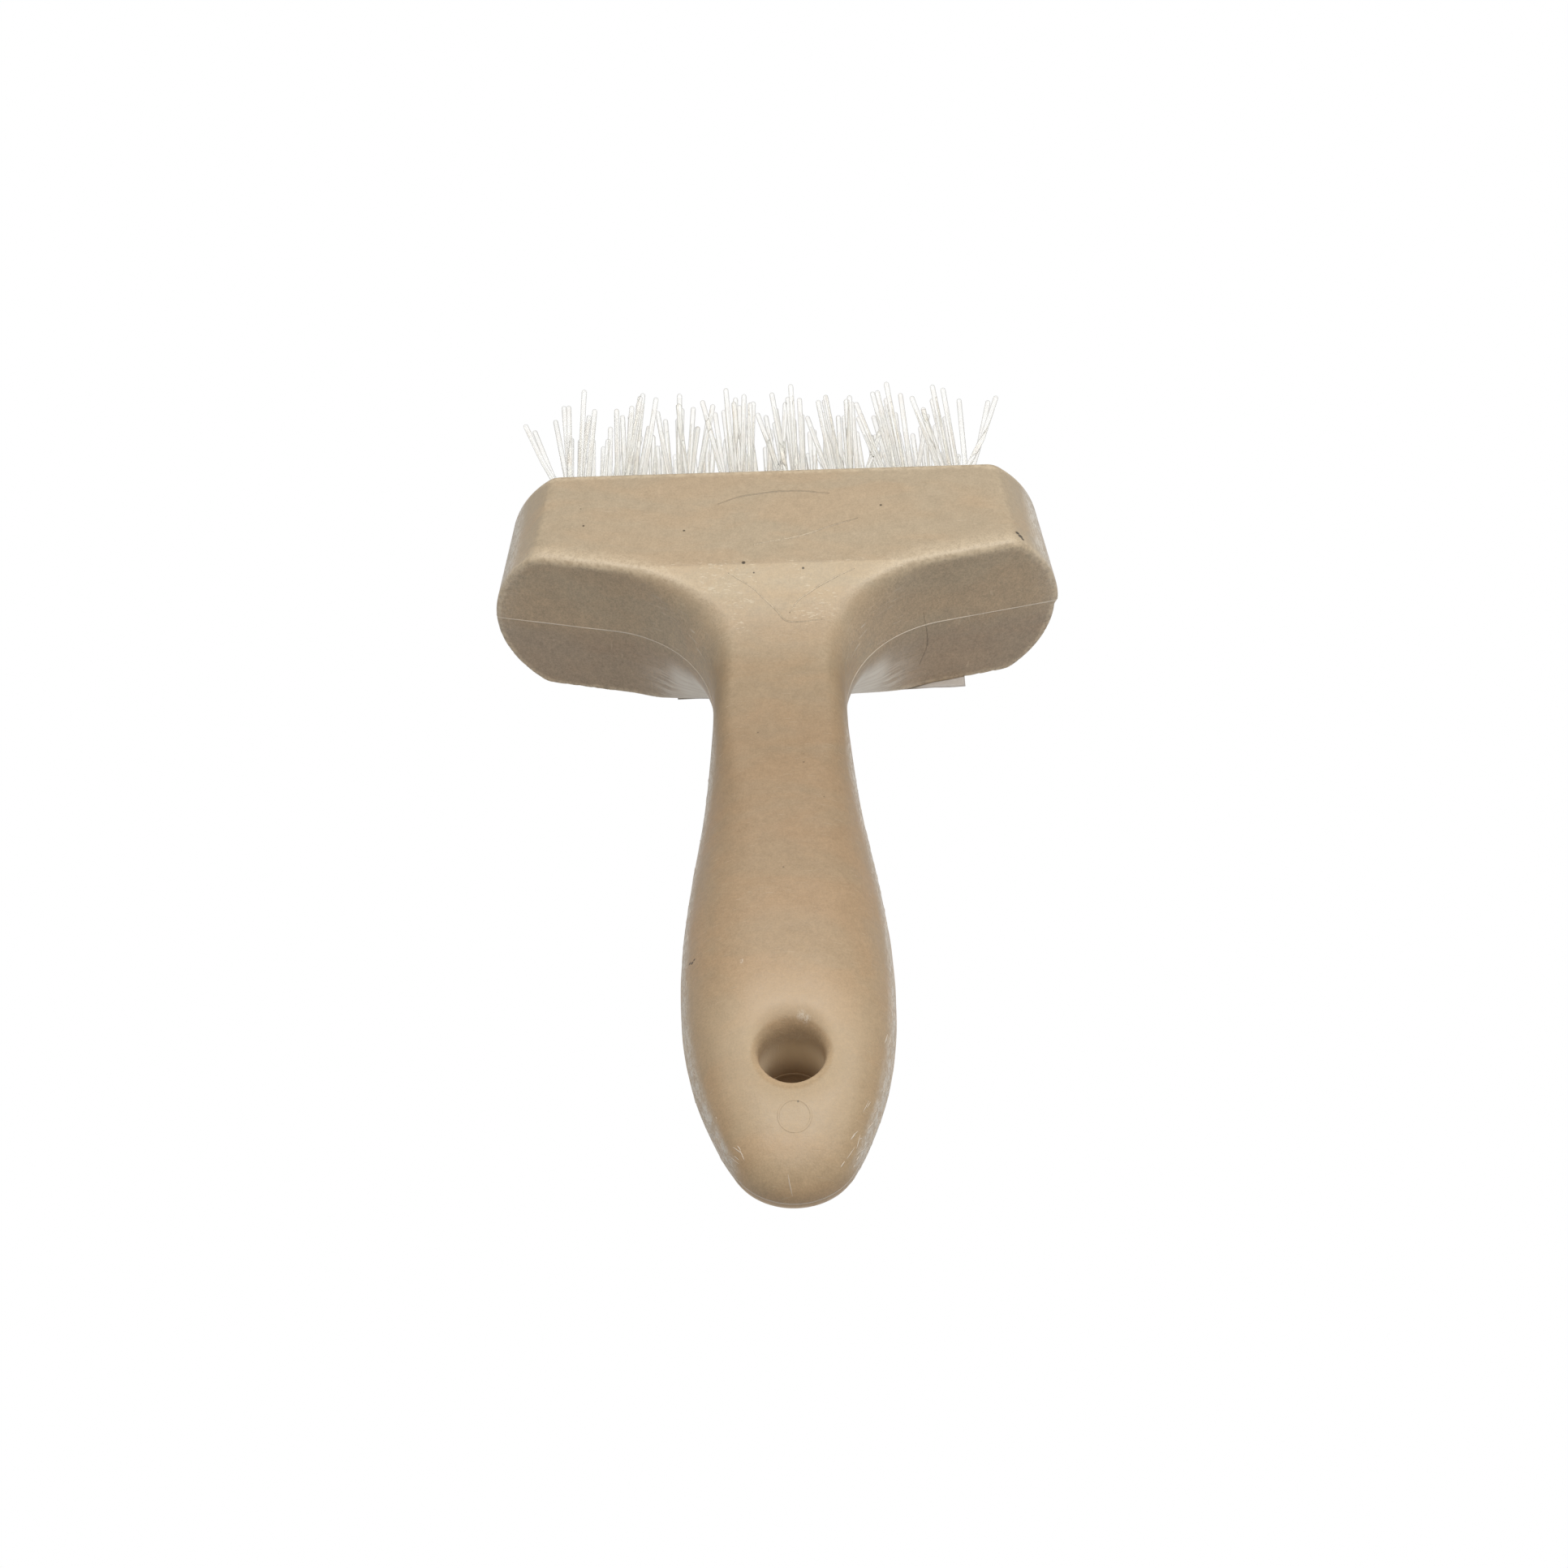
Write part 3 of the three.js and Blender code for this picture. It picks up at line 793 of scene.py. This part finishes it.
def build_tufts(material):
    """One piece of folded wires for each tuft."""
    for row, leans in TUFT_LEANS.items():
        for number, lean in enumerate(leans, 1):
            name = f"{row}_{number}"
            finish_piece(tuft_mesh(name, lean, seed=f"{name} wires"), material, "filament", name)


# ---- The label ----

LABEL_WIDTH = 41.5
LABEL_DEPTH = 16.0
LABEL_THICKNESS = 0.12
LABEL_TURN = math.radians(1.2)

# The label is stuck down as far back as y = LABEL_FREE_Y, and then droops: everywhere by LABEL_DROP,
# and by LABEL_SAG more in a swelling round LABEL_SAG_X.
LABEL_FREE_Y = -0.8
LABEL_FREE_REACH = 3.2
LABEL_DROP = 0.25
LABEL_SAG = 0.5
LABEL_SAG_X = 6.0
LABEL_SAG_REACH = 12.0


def build_label(material):
    """A blank paper label, stuck on the underside, with its rear edge standing free."""
    low, high = layout_box("label")
    middle = (low + high) / 2
    across, deep = 84, 34
    u = np.linspace(-0.5, 0.5, across + 1)
    v = np.linspace(-0.5, 0.5, deep + 1)
    x, y = np.meshgrid(u * LABEL_WIDTH, v * LABEL_DEPTH, indexing="ij")
    turned_x = middle[0] + x * math.cos(LABEL_TURN) - y * math.sin(LABEL_TURN)
    turned_y = middle[1] + x * math.sin(LABEL_TURN) + y * math.cos(LABEL_TURN)
    free = np.clip((LABEL_FREE_Y - turned_y) / LABEL_FREE_REACH, 0, 1) ** 1.5
    curl = LABEL_SAG * np.exp(-((turned_x - LABEL_SAG_X) / LABEL_SAG_REACH) ** 2)
    ripple = 0.06 * np.sin(turned_x * 0.55) + 0.04 * np.sin(turned_x * 1.3 + 1)
    top = high[2] - free * (LABEL_DROP + curl + ripple)
    upper = np.stack([turned_x, turned_y, top], axis=-1).reshape(-1, 3)
    lower = upper - (0, 0, LABEL_THICKNESS)
    points = np.vstack([upper, lower])
    row = deep + 1
    faces = []
    for i in range(across):
        for j in range(deep):
            a = i * row + j
            ring = (a, a + row, a + row + 1, a + 1)
            faces.append(ring)
            faces.append(tuple(k + len(upper) for k in ring[::-1]))
    rim = [i * row for i in range(across)] + [across * row + j for j in range(deep)]
    rim += [i * row + deep for i in range(across, 0, -1)] + [j for j in range(deep, 0, -1)]
    for a, b in zip(rim, rim[1:] + rim[:1]):
        faces.append((a, a + len(upper), b + len(upper), b))
    finish_piece(new_mesh_object("blank_label", points, faces), material, "label", "label")


# ---- Materials ----


class Nodes:
    """Short calls for building the node tree of a new material or world."""

    def __init__(self, owner, shader="Principled BSDF"):
        owner.use_nodes = True
        self.owner = owner
        self.tree = owner.node_tree
        self.shader = self.tree.nodes[shader]

    def node(self, kind, inputs=None, **settings):
        """A node whose inputs are linked to sockets, or set where a plain value is given."""
        made = self.tree.nodes.new(kind)
        for key, value in settings.items():
            setattr(made, key, value)
        for key, value in (inputs or {}).items():
            if isinstance(value, bpy.types.NodeSocket):
                self.tree.links.new(value, made.inputs[key])
            else:
                made.inputs[key].default_value = value
        return made

    def math(self, operation, a, b=0.0, c=0.0, clamp=False):
        made = self.node("ShaderNodeMath", {0: a, 1: b, 2: c}, operation=operation, use_clamp=clamp)
        return made.outputs[0]

    def combine(self, operation, values):
        total = values[0]
        for value in values[1:]:
            total = self.math(operation, total, value)
        return total

    def times(self, *values):
        return self.combine("MULTIPLY", values)

    def plus(self, *values):
        return self.combine("ADD", values)

    def most(self, *values):
        return self.combine("MAXIMUM", values)

    def noise(self, vector, scale, detail=2.0, roughness=0.5, distortion=0.0):
        made = self.node("ShaderNodeTexNoise", {"Vector": vector, "Scale": scale, "Detail": detail,
                                                "Roughness": roughness, "Distortion": distortion})
        return made.outputs["Fac"]

    def ramp(self, value, low, high, out_low=0.0, out_high=1.0):
        """An eased step from one output to the other as the value goes from low to high, or down to it."""
        made = self.node("ShaderNodeMapRange", {"Value": value, "From Min": low, "From Max": high,
                                                "To Min": out_low, "To Max": out_high},
                         interpolation_type="SMOOTHSTEP")
        return made.outputs["Result"]

    def mix(self, factor, a, b, blend="MIX"):
        """Two colours mixed; sockets 6 and 7 are the node's colour inputs, and output 2 its colour."""
        made = self.node("ShaderNodeMix", {"Factor": factor, 6: a, 7: b}, data_type="RGBA", blend_type=blend)
        return made.outputs[2]

    def tinted(self, colour, tint):
        return self.mix(1.0, colour, tint, "MULTIPLY")

    def point(self):
        """Where the shaded point is in the layout, in millimetres."""
        coordinates = self.node("ShaderNodeTexCoord").outputs["Object"]
        made = self.node("ShaderNodeVectorMath", {0: coordinates, 1: (1 / MM, 1 / MM, 1 / MM),
                                                  2: tuple(-LAYOUT_ZERO)}, operation="MULTIPLY_ADD")
        return made.outputs["Vector"]

    def split(self, vector):
        return self.node("ShaderNodeSeparateXYZ", {0: vector}).outputs[:3]

    def join(self, x, y, z):
        return self.node("ShaderNodeCombineXYZ", {0: x, 1: y, 2: z}).outputs[0]

    def streaks(self, vector, degrees, scale, detail=2.0, roughness=0.5, distortion=0.0):
        """Noise on the vector turned about z and then scaled along each axis."""
        turn = (0, 0, math.radians(degrees))
        made = self.node("ShaderNodeMapping", {"Vector": vector, "Rotation": turn, "Scale": scale})
        return self.noise(made.outputs["Vector"], 1.0, detail, roughness, distortion)

    def distance(self, vector, centre):
        made = self.node("ShaderNodeVectorMath", {0: vector, 1: centre}, operation="DISTANCE")
        return made.outputs["Value"]

    def colours(self, value, stops):
        """A colour ramp over stops given as (value, colour)."""
        low, high = stops[0][0], stops[-1][0]
        share = self.node("ShaderNodeMapRange", {"Value": value, "From Min": low, "From Max": high})
        made = self.node("ShaderNodeValToRGB", {"Fac": share.outputs["Result"]})
        band = made.color_ramp
        while len(band.elements) < len(stops):
            band.elements.new(0.5)
        for element, (at, _) in zip(band.elements, stops):
            element.position = (at - low) / (high - low)
        for element, (_, colour) in zip(band.elements, stops):
            element.color = (*colour, 1)
        return made.outputs["Color"]

    def scale_colour(self, colour, value):
        made = self.node("ShaderNodeVectorMath", {0: colour, "Scale": value}, operation="SCALE")
        return made.outputs["Vector"]

    def bump(self, height, strength=1.0):
        """Relief from a height in millimetres."""
        made = self.node("ShaderNodeBump", {"Height": height, "Distance": MM, "Strength": strength})
        self.link(made.outputs["Normal"], "Normal")

    def link(self, value, name):
        """Links a value to an input of the tree's own shader."""
        self.tree.links.new(value, self.shader.inputs[name])

    def set(self, **values):
        """Sets inputs of the tree's own shader, where a name's spaces are underscores."""
        for name, value in values.items():
            self.shader.inputs[name.replace("_", " ")].default_value = value


def new_material(name):
    return Nodes(bpy.data.materials.new(name))


def rgb(red, green, blue):
    """A colour as it is seen on a screen, from 0 to 255, made linear."""
    def linear(value):
        value /= 255
        return value / 12.92 if value <= 0.04045 else ((value + 0.055) / 1.055) ** 2.4
    return (linear(red), linear(green), linear(blue), 1.0)


# The plastic's colour along the handle, as (y, linear colour), with painted light and shade in it: darker
# and warmer in the neck, and paler at both ends.
COLOUR_AND_SHADE_ALONG = [(-104, (0.59, 0.42, 0.25)), (-92, (0.58, 0.41, 0.24)), (-66, (0.495, 0.35, 0.211)),
                (-50, (0.452, 0.318, 0.192)), (-32, (0.425, 0.30, 0.18)), (-20, (0.448, 0.325, 0.198)),
                (-11, (0.55, 0.425, 0.28)), (17, (0.535, 0.418, 0.28))]
# Painted highlight: the facet behind the crease is lighter where it tilts towards the light.
FACET_HIGHLIGHT_COLOUR = (0.62, 0.485, 0.315, 1)
# Painted shade on the walls below the parting plane, which face away from the light.
LOWER_SHADE_TINT = (0.84, 0.82, 0.85, 1)
COOL_TINT = (0.985, 1.0, 1.015, 1)
WARM_TINT = (1.025, 0.993, 0.97, 1)
# The colour of worn plastic, also used for painted highlights on the edges and round the hanging hole.
WORN_AND_LIT_COLOUR = (0.82, 0.67, 0.47, 1)
FLECK_COLOUR = (0.86, 0.74, 0.55, 1)
# The pale colour of torn and scuffed plastic, also used for painted reflections on the sides and a painted
# glow in the hollows.
PALE_MARK_AND_SHEEN_COLOUR = (0.95, 0.89, 0.79, 1)
DIRT_COLOUR = (0.045, 0.035, 0.022, 1)
SMUDGE_COLOUR = (0.30, 0.25, 0.17, 1)
# Painted light at the hanging hole's lip, and painted shade deeper in its bore.
BORE_LIT_COLOUR = (0.92, 0.78, 0.58, 1)
BORE_SHADE_COLOUR = (0.38, 0.26, 0.15, 1)

# Marks on the moulding's upper side, as (x, y, inner radius, outer radius).
DIRT_SPOTS = [(-4.5, -2.0, 0.16, 0.36), (3.8, -3.2, 0.08, 0.26), (-3.1, -3.7, 0.05, 0.20),
              (-12.8, 4.8, 0.06, 0.26), (15.1, 8.8, 0.06, 0.28), (-27.0, 6.4, 0.06, 0.24),
              (34.1, 2.8, 0.16, 0.38), (34.5, 2.4, 0.20, 0.44), (34.8, 2.0, 0.12, 0.30),
              (-12.6, -68.4, 0.08, 0.22), (-12.3, -68.7, 0.10, 0.24), (-12.0, -68.5, 0.06, 0.20),
              (0.9, -92.8, 0.04, 0.20)]
SMUDGES = [(28.0, 4.9, 0.6, 3.0), (24.5, 5.6, 0.3, 2.2), (-3.3, -45.1, 0.2, 1.3)]
# The last two pale spots, on the hanging hole's far lip, are a painted glint.
PALE_SPOTS_AND_GLINT = [(-5.8, -71.8, 0.05, 0.28), (-5.8, -72.1, 0.05, 0.28), (1.6, -80.4, 0.1, 0.8),
              (2.3, -80.9, 0.1, 0.7)]


def body_material(name="foamed_plastic", tone=1.0, veil=0.0):
    """Pale foamed plastic: cloudy, finely mottled, worn along its edges, with painted highlights,
    reflections and shade.

    The tone makes it lighter or darker, and the veil whitens it as where it is torn.
    """
    n = new_material(name)
    point = n.point()
    x, y, z = n.split(point)
    beyond = n.math("ABSOLUTE", x)
    facing = n.split(n.node("ShaderNodeTexCoord").outputs["Normal"])
    upright = n.math("ABSOLUTE", facing[2])
    bend = n.node("ShaderNodeAttribute", attribute_name="bend").outputs["Fac"]
    inset = n.node("ShaderNodeAttribute", attribute_name="inset").outputs["Fac"]

    cloud = n.streaks(point, -14, (0.055, 0.14, 0.14), 3, 0.55, 0.6)
    blotch = n.noise(point, 0.42, detail=4, roughness=0.6)
    mottle = n.noise(point, 1.5, detail=3, roughness=0.65)
    grain = n.noise(point, 4.0, detail=2, roughness=0.6)

    # The base colour along the handle, with painted shading; a painted highlight on the facet behind the
    # crease; and painted shade on the walls below the parting plane.
    colour = n.colours(y, COLOUR_AND_SHADE_ALONG)
    on_top = n.ramp(upright, 0.86, 0.95)
    facet_highlight = n.times(on_top, n.ramp(y, CREASE_Y + 0.05, CREASE_Y - 0.25), n.ramp(y, -12.5, -5))
    colour = n.mix(facet_highlight, colour, FACET_HIGHLIGHT_COLOUR)
    on_wall = n.times(n.ramp(upright, 0.6, 0.25), n.ramp(y, -20, -12))
    below = n.times(on_wall, n.ramp(z, 2.0, -4.0))
    colour = n.mix(below, colour, n.tinted(colour, LOWER_SHADE_TINT))
    colour = n.mix(n.ramp(cloud, 0.38, 0.62), n.tinted(colour, COOL_TINT), n.tinted(colour, WARM_TINT))
    shade = n.plus(n.ramp(blotch, 0.3, 0.7, -0.03, 0.03), n.ramp(mottle, 0.25, 0.75, -0.05, 0.05),
                   n.ramp(grain, 0.25, 0.75, -0.07, 0.07))
    shade = n.math("MULTIPLY_ADD", shade, n.math("MULTIPLY_ADD", on_wall, 0.8, 1.0), tone)
    colour = n.scale_colour(colour, shade)

    # Wear on the convex edges, with a painted highlight on them, and a painted highlight band just inside
    # the head's rear edges.
    wear_and_highlight = n.times(n.ramp(bend, 0.08, 0.34), n.ramp(mottle, 0.36, 0.62, 0.3, 1.0), n.ramp(y, -24, -13), 0.8)
    painted_edge_highlight = n.times(n.ramp(inset, 4.4, 1.2), n.ramp(upright, 0.6, 0.85), n.ramp(y, -14, -8),
                     n.ramp(y, 7.0, 3.0), n.ramp(n.plus(mottle, grain), 0.75, 1.2, 0.35, 0.9))
    wear_and_highlight = n.most(wear_and_highlight, painted_edge_highlight)
    colour = n.mix(n.times(wear_and_highlight, 0.75), colour, WORN_AND_LIT_COLOUR)

    # Short pale flecks where the handle runs up to the crease.
    flecks = n.streaks(point, 62, (1.1, 3.6, 2.0), 2, 0.6)
    patchy = n.ramp(n.noise(point, 0.22, detail=1), 0.42, 0.58)
    at_junction = n.times(n.ramp(upright, 0.5, 0.8), n.ramp(y, -17, -11), n.ramp(y, -0.5, -2.5), patchy)
    colour = n.mix(n.times(at_junction, n.ramp(flecks, 0.56, 0.68), 0.5), colour, FLECK_COLOUR)

    # Painted reflections, pale and broken up, down the handle's sides and on the head's round ends.
    flakes = n.streaks(point, 24, (1.2, 0.7, 1.6), 4, 0.7)
    flat = n.join(x, y, 0.0)
    from_axis = n.distance(flat, (HANG_HOLE_X, HANG_HOLE_Y, 0))
    side = n.times(n.ramp(upright, 0.56, 0.26), n.ramp(y, -24, -34), n.ramp(y, -101, -97),
                   n.ramp(from_axis, 5.2, 6.2))
    head_end = n.times(n.ramp(beyond, 35.0, 36.5), n.ramp(z, -5.0, -2.0), n.ramp(upright, 0.74, 0.45),
                       n.ramp(y, 0.0, 3.0))
    broken = n.ramp(n.plus(n.times(flakes, 0.7), n.times(grain, 0.3)), 0.42, 0.60)
    painted_rim_reflection = n.times(n.most(side, head_end), n.math("MULTIPLY_ADD", broken, 0.62, 0.22))
    colour = n.mix(n.math("MINIMUM", painted_rim_reflection, 0.85), colour, PALE_MARK_AND_SHEEN_COLOUR)

    # Drawn-out white streaks that run slantwise in the hollows below the head, over a painted glow that
    # lightens the hollows between them, most of all by the neck.
    around = n.math("ARCTAN2", n.math("SUBTRACT", y, NECK_Y),
                    n.math("SUBTRACT", NECK_HALF_WIDTH + SWEEP_RADIUS, beyond))
    sheet = n.join(n.times(around, SWEEP_RADIUS), z, 0.0)
    strands = n.streaks(sheet, 38, (0.22, 2.2, 1), 3, 0.6)
    hollow = n.times(n.ramp(z, -1.5, -7.5), n.ramp(y, -26, -17), n.ramp(y, -2.5, -8), n.ramp(beyond, 25, 15))
    streak = n.times(hollow, n.ramp(strands, 0.40, 0.58, 0.3, 1.0))
    by_neck = n.times(n.ramp(z, -1.0, -5.0), n.ramp(beyond, 18.0, 13.0), n.ramp(y, -20, -14),
                      n.ramp(y, -4, -7))
    painted_hollow_glow = n.times(by_neck, n.ramp(strands, 0.36, 0.54, 0.8, 1.0))
    faint = n.times(on_wall, n.ramp(strands, 0.60, 0.68), n.ramp(y, -2.5, -8), 0.35)
    colour = n.mix(n.most(streak, painted_hollow_glow, faint), colour, PALE_MARK_AND_SHEEN_COLOUR)

    # Fine scratches in three directions, only here and there.
    scratches = 0.0
    for degrees, patch_scale, length_scale in ((34, 0.11, 0.35), (-52, 0.16, 0.45), (81, 0.13, 0.3)):
        lines = n.streaks(point, degrees, (length_scale, 6.0, length_scale), 1)
        here = n.noise(point, patch_scale, detail=0)
        scratches = n.plus(scratches, n.times(n.ramp(lines, 0.70, 0.77), n.ramp(here, 0.50, 0.62)))
    colour = n.mix(n.math("MULTIPLY", scratches, 0.3, clamp=True), colour, WORN_AND_LIT_COLOUR)

    # Pinhead specks at random, the marks this brush has, and a painted glint on the hanging hole's far lip.
    cells = n.node("ShaderNodeTexVoronoi", {"Vector": point, "Scale": 0.33})
    rare = n.ramp(n.split(cells.outputs["Color"])[0], 0.80, 0.82)
    specks = n.times(rare, n.ramp(cells.outputs["Distance"], 0.06, 0.03), 0.5)
    upper = n.ramp(z, 0.0, 1.0)

    def spots(table):
        round_spots = [n.ramp(n.distance(flat, (at_x, at_y, 0)), outer, inner)
                       for at_x, at_y, inner, outer in table]
        return n.times(n.most(*round_spots), upper)

    specks = n.most(specks, spots(DIRT_SPOTS))
    colour = n.mix(n.times(spots(SMUDGES), n.ramp(mottle, 0.45, 0.7), 0.3), colour, SMUDGE_COLOUR)
    colour = n.mix(n.times(specks, 0.9), colour, DIRT_COLOUR)
    colour = n.mix(n.times(spots(PALE_SPOTS_AND_GLINT), n.ramp(grain, 0.35, 0.6), 0.5), colour, PALE_MARK_AND_SHEEN_COLOUR)

    # Painted light on the flat round the hanging hole, and painted light and shade down in the hole: lit at
    # its lip and dark further down.
    hole_flat_light = n.times(n.ramp(from_axis, 17.0, 5.0), n.ramp(from_axis, 4.9, 5.5), n.ramp(upright, 0.6, 0.85))
    colour = n.mix(n.times(hole_flat_light, 0.3), colour, WORN_AND_LIT_COLOUR)
    bore_light_and_shade = n.times(n.ramp(from_axis, 5.0, 4.35), n.ramp(z, 7.0, 3.0))
    colour = n.mix(bore_light_and_shade, colour, n.mix(n.ramp(z, 3.0, -2.5), BORE_LIT_COLOUR, BORE_SHADE_COLOUR))
    if veil:
        colour = n.mix(veil, colour, PALE_MARK_AND_SHEEN_COLOUR)

    n.link(colour, "Base Color")
    n.link(n.plus(n.ramp(blotch, 0.3, 0.7, 0.40, 0.50), n.ramp(grain, 0.3, 0.7, -0.05, 0.05),
                  n.ramp(from_axis, 5.0, 8.0, 0.4, 0.0), n.times(painted_rim_reflection, 0.15)), "Roughness")
    n.bump(n.plus(n.times(mottle, 0.035), n.times(grain, 0.018), n.times(n.noise(point, 0.16), 0.25),
                  n.times(wear_and_highlight, 0.02), n.times(scratches, -0.012)))
    n.set(IOR=1.46)
    return n.owner


def filament_material():
    """Clear drawn nylon: colourless where seen straight through, with painted grey shade towards each wire's
    sides.
    """
    n = new_material("clear_nylon")
    point = n.point()
    milky = n.noise(point, 0.35)
    draw_marks = n.streaks(point, 0, (7.0, 0.25, 7.0))
    aslant = n.node("ShaderNodeLayerWeight", {"Blend": 0.5}).outputs["Facing"]
    clear = n.mix(n.ramp(milky, 0.40, 0.70), (1.0, 0.995, 0.97, 1), (0.99, 0.965, 0.925, 1))
    n.link(n.mix(n.ramp(aslant, 0.42, 0.80, 0.0, 0.92), clear, (0.27, 0.255, 0.22, 1)), "Base Color")
    n.link(n.ramp(draw_marks, 0.35, 0.7, 0.0, 0.04), "Roughness")
    n.bump(n.times(draw_marks, 0.004), 0.5)
    n.set(IOR=1.25, Transmission_Weight=0.94)
    return n.owner


def wire_material():
    """Galvanised anchor wire: dull zinc with dark drawing lines and a few rusty points."""
    n = new_material("anchor_wire")
    point = n.point()
    drawn = n.streaks(point, 0, (0.8, 6.0, 6.0), 3)
    rust = n.ramp(n.noise(point, 1.1, detail=3), 0.60, 0.72)
    colour = n.mix(n.ramp(drawn, 0.3, 0.7), rgb(150, 145, 136), rgb(198, 194, 184))
    n.link(n.mix(n.times(rust, 0.6), colour, rgb(110, 78, 52)), "Base Color")
    n.link(n.ramp(drawn, 0.3, 0.7, 0.28, 0.45), "Roughness")
    n.link(n.ramp(rust, 0, 1, 1.0, 0.4), "Metallic")
    n.bump(n.times(drawn, 0.01))
    return n.owner


def paper_material():
    """Coated paper: faintly fibrous and uneven."""
    n = new_material("label_paper")
    point = n.point()
    fibres = n.streaks(point, 20, (1.6, 5.0, 3.0), 3)
    wash = n.noise(point, 0.25)
    colour = n.mix(n.ramp(wash, 0.35, 0.65), rgb(214, 206, 197), rgb(228, 222, 214))
    n.link(n.mix(n.ramp(fibres, 0.35, 0.7, 0.0, 0.35), colour, rgb(196, 186, 175)), "Base Color")
    n.link(n.ramp(fibres, 0.3, 0.7, 0.45, 0.6), "Roughness")
    n.bump(n.plus(n.times(fibres, 0.01), n.times(wash, 0.03)))
    return n.owner


plastic = body_material()
build_body(plastic)
torn_plastic = body_material("torn_plastic", veil=0.5)
build_parting_flash(torn_plastic)
build_bore_flash(plastic)
build_ejector_ring(plastic)
build_flow_lines(body_material("flow_line_plastic", tone=0.76))
build_flakes(torn_plastic)
build_tufts(filament_material())
build_label(paper_material())
anchor_metal = wire_material()
for name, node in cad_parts.items():
    if name.startswith("anchor_"):
        node.data.materials.clear()
        node.data.materials.append(anchor_metal)

# ---- The stage ----

# The backdrop is pure white to the camera and the floor glows white behind the clear wires. Rough
# surfaces are lit by a dim sky, the lamps and what a real table would send back.
SEEN_WHITE = 1.0
FLOOR_IN_GLOSS = 0.8
SKY_GLOW = 0.1
SKY_IN_GLOSS = 0.3
SKY_THROUGH_NYLON = 1.0
TABLE_WHITE = 0.8

# Light crosses two surfaces of every clear wire in its way, so it needs many bounces.
WIRE_BOUNCES = 40


def level_for_rays(n, path, level, choices):
    """A strength that starts at one level and is replaced for each kind of ray in turn."""
    for ray, strength in choices:
        inputs = {"Value": path.outputs[ray], "To Min": level, "To Max": strength}
        level = n.node("ShaderNodeMapRange", inputs).outputs["Result"]
    return level


FLOOR_REACH = 1500.0
FLOOR_DROP = 2.0


def build_floor():
    """A wide floor that glows for every ray but the diffuse ones, which find a white table instead."""
    reach, low = FLOOR_REACH, -HALF_HEIGHT - FLOOR_DROP
    corners = [(-reach, -reach, low), (reach, -reach, low), (reach, reach, low), (-reach, reach, low)]
    floor = new_mesh_object("floor", corners, [(0, 1, 2, 3)], smooth=False)
    n = Nodes(bpy.data.materials.new("lit_floor"), "Material Output")
    n.owner.cycles.emission_sampling = "NONE"
    n.tree.nodes.remove(n.tree.nodes["Principled BSDF"])
    path = n.node("ShaderNodeLightPath")
    level = level_for_rays(n, path, SEEN_WHITE,
                           [("Is Glossy Ray", FLOOR_IN_GLOSS), ("Is Transmission Ray", SEEN_WHITE)])
    glow = n.node("ShaderNodeEmission", {"Strength": level})
    table = n.node("ShaderNodeBsdfDiffuse", {"Color": (TABLE_WHITE, TABLE_WHITE, TABLE_WHITE, 1)})
    parts = {"Fac": path.outputs["Is Diffuse Ray"], 1: glow.outputs[0], 2: table.outputs[0]}
    n.link(n.node("ShaderNodeMixShader", parts).outputs[0], "Surface")
    floor.data.materials.append(n.owner)


def build_world():
    """A white backdrop that gives much less light than the camera sees in it."""
    n = Nodes(bpy.data.worlds.new("studio"), "Background")
    n.set(Color=(1, 1, 1, 1))
    level = level_for_rays(n, n.node("ShaderNodeLightPath"), SKY_GLOW,
                           [("Is Glossy Ray", SKY_IN_GLOSS), ("Is Transmission Ray", SKY_THROUGH_NYLON),
                            ("Is Camera Ray", SEEN_WHITE)])
    n.link(level, "Strength")
    bpy.context.scene.world = n.owner
    bpy.context.scene.view_settings.view_transform = "Standard"


def build_light(name, position, target, side, power):
    """A square lamp aimed at a point of the layout."""
    data = bpy.data.lights.new(name, "AREA")
    data.shape = "SQUARE"
    data.size = side * MM
    data.energy = power
    light = bpy.data.objects.new(name, data)
    bpy.context.scene.collection.objects.link(light)
    light.location = place(position)
    direction = Vector(place(target)) - light.location
    light.rotation_euler = direction.to_track_quat("-Z", "Y").to_euler()


# The camera looks down the handle from behind and above.
CAMERA_YAW = math.radians(0.212)
CAMERA_PITCH = math.radians(47.5)
CAMERA_ROLL = math.radians(-1.907)
CAMERA_DISTANCE = 527.8
CAMERA_AIM = (0.0, -40.0, 0.0)
CAMERA_SLIDE = (0.094, 5.153)
CAMERA_SENSOR = 36.0
CAMERA_LENS = 89.44


def build_camera():
    """Aims the camera, rolls it, and slides it sideways and up in its own picture plane."""
    back = Vector((math.sin(CAMERA_YAW) * math.cos(CAMERA_PITCH),
                   -math.cos(CAMERA_YAW) * math.cos(CAMERA_PITCH), math.sin(CAMERA_PITCH)))
    level = Vector((math.cos(CAMERA_YAW), math.sin(CAMERA_YAW), 0))
    upright = back.cross(level)
    right = math.cos(CAMERA_ROLL) * level + math.sin(CAMERA_ROLL) * upright
    up = back.cross(right)
    aim = Vector(CAMERA_AIM) + CAMERA_SLIDE[0] * right + CAMERA_SLIDE[1] * up
    data = bpy.data.cameras.new("camera")
    data.sensor_width = CAMERA_SENSOR
    data.lens = CAMERA_LENS
    data.clip_start = 0.01
    camera = bpy.data.objects.new("camera", data)
    bpy.context.scene.collection.objects.link(camera)
    turn = Matrix((right, up, back)).transposed().to_4x4()
    camera.matrix_world = Matrix.Translation(Vector(place(aim + CAMERA_DISTANCE * back))) @ turn
    bpy.context.scene.camera = camera


build_floor()
build_world()
build_light("overhead", (0, 0, 450), (0, -30, 0), 350, 1.50)
build_light("right", (220, -50, 300), (0, -40, 0), 200, 0.32)
build_light("left", (-220, -50, 200), (0, -50, 0), 200, 0.05)
bpy.context.scene.cycles.max_bounces = WIRE_BOUNCES
bpy.context.scene.cycles.transmission_bounces = WIRE_BOUNCES
build_camera()
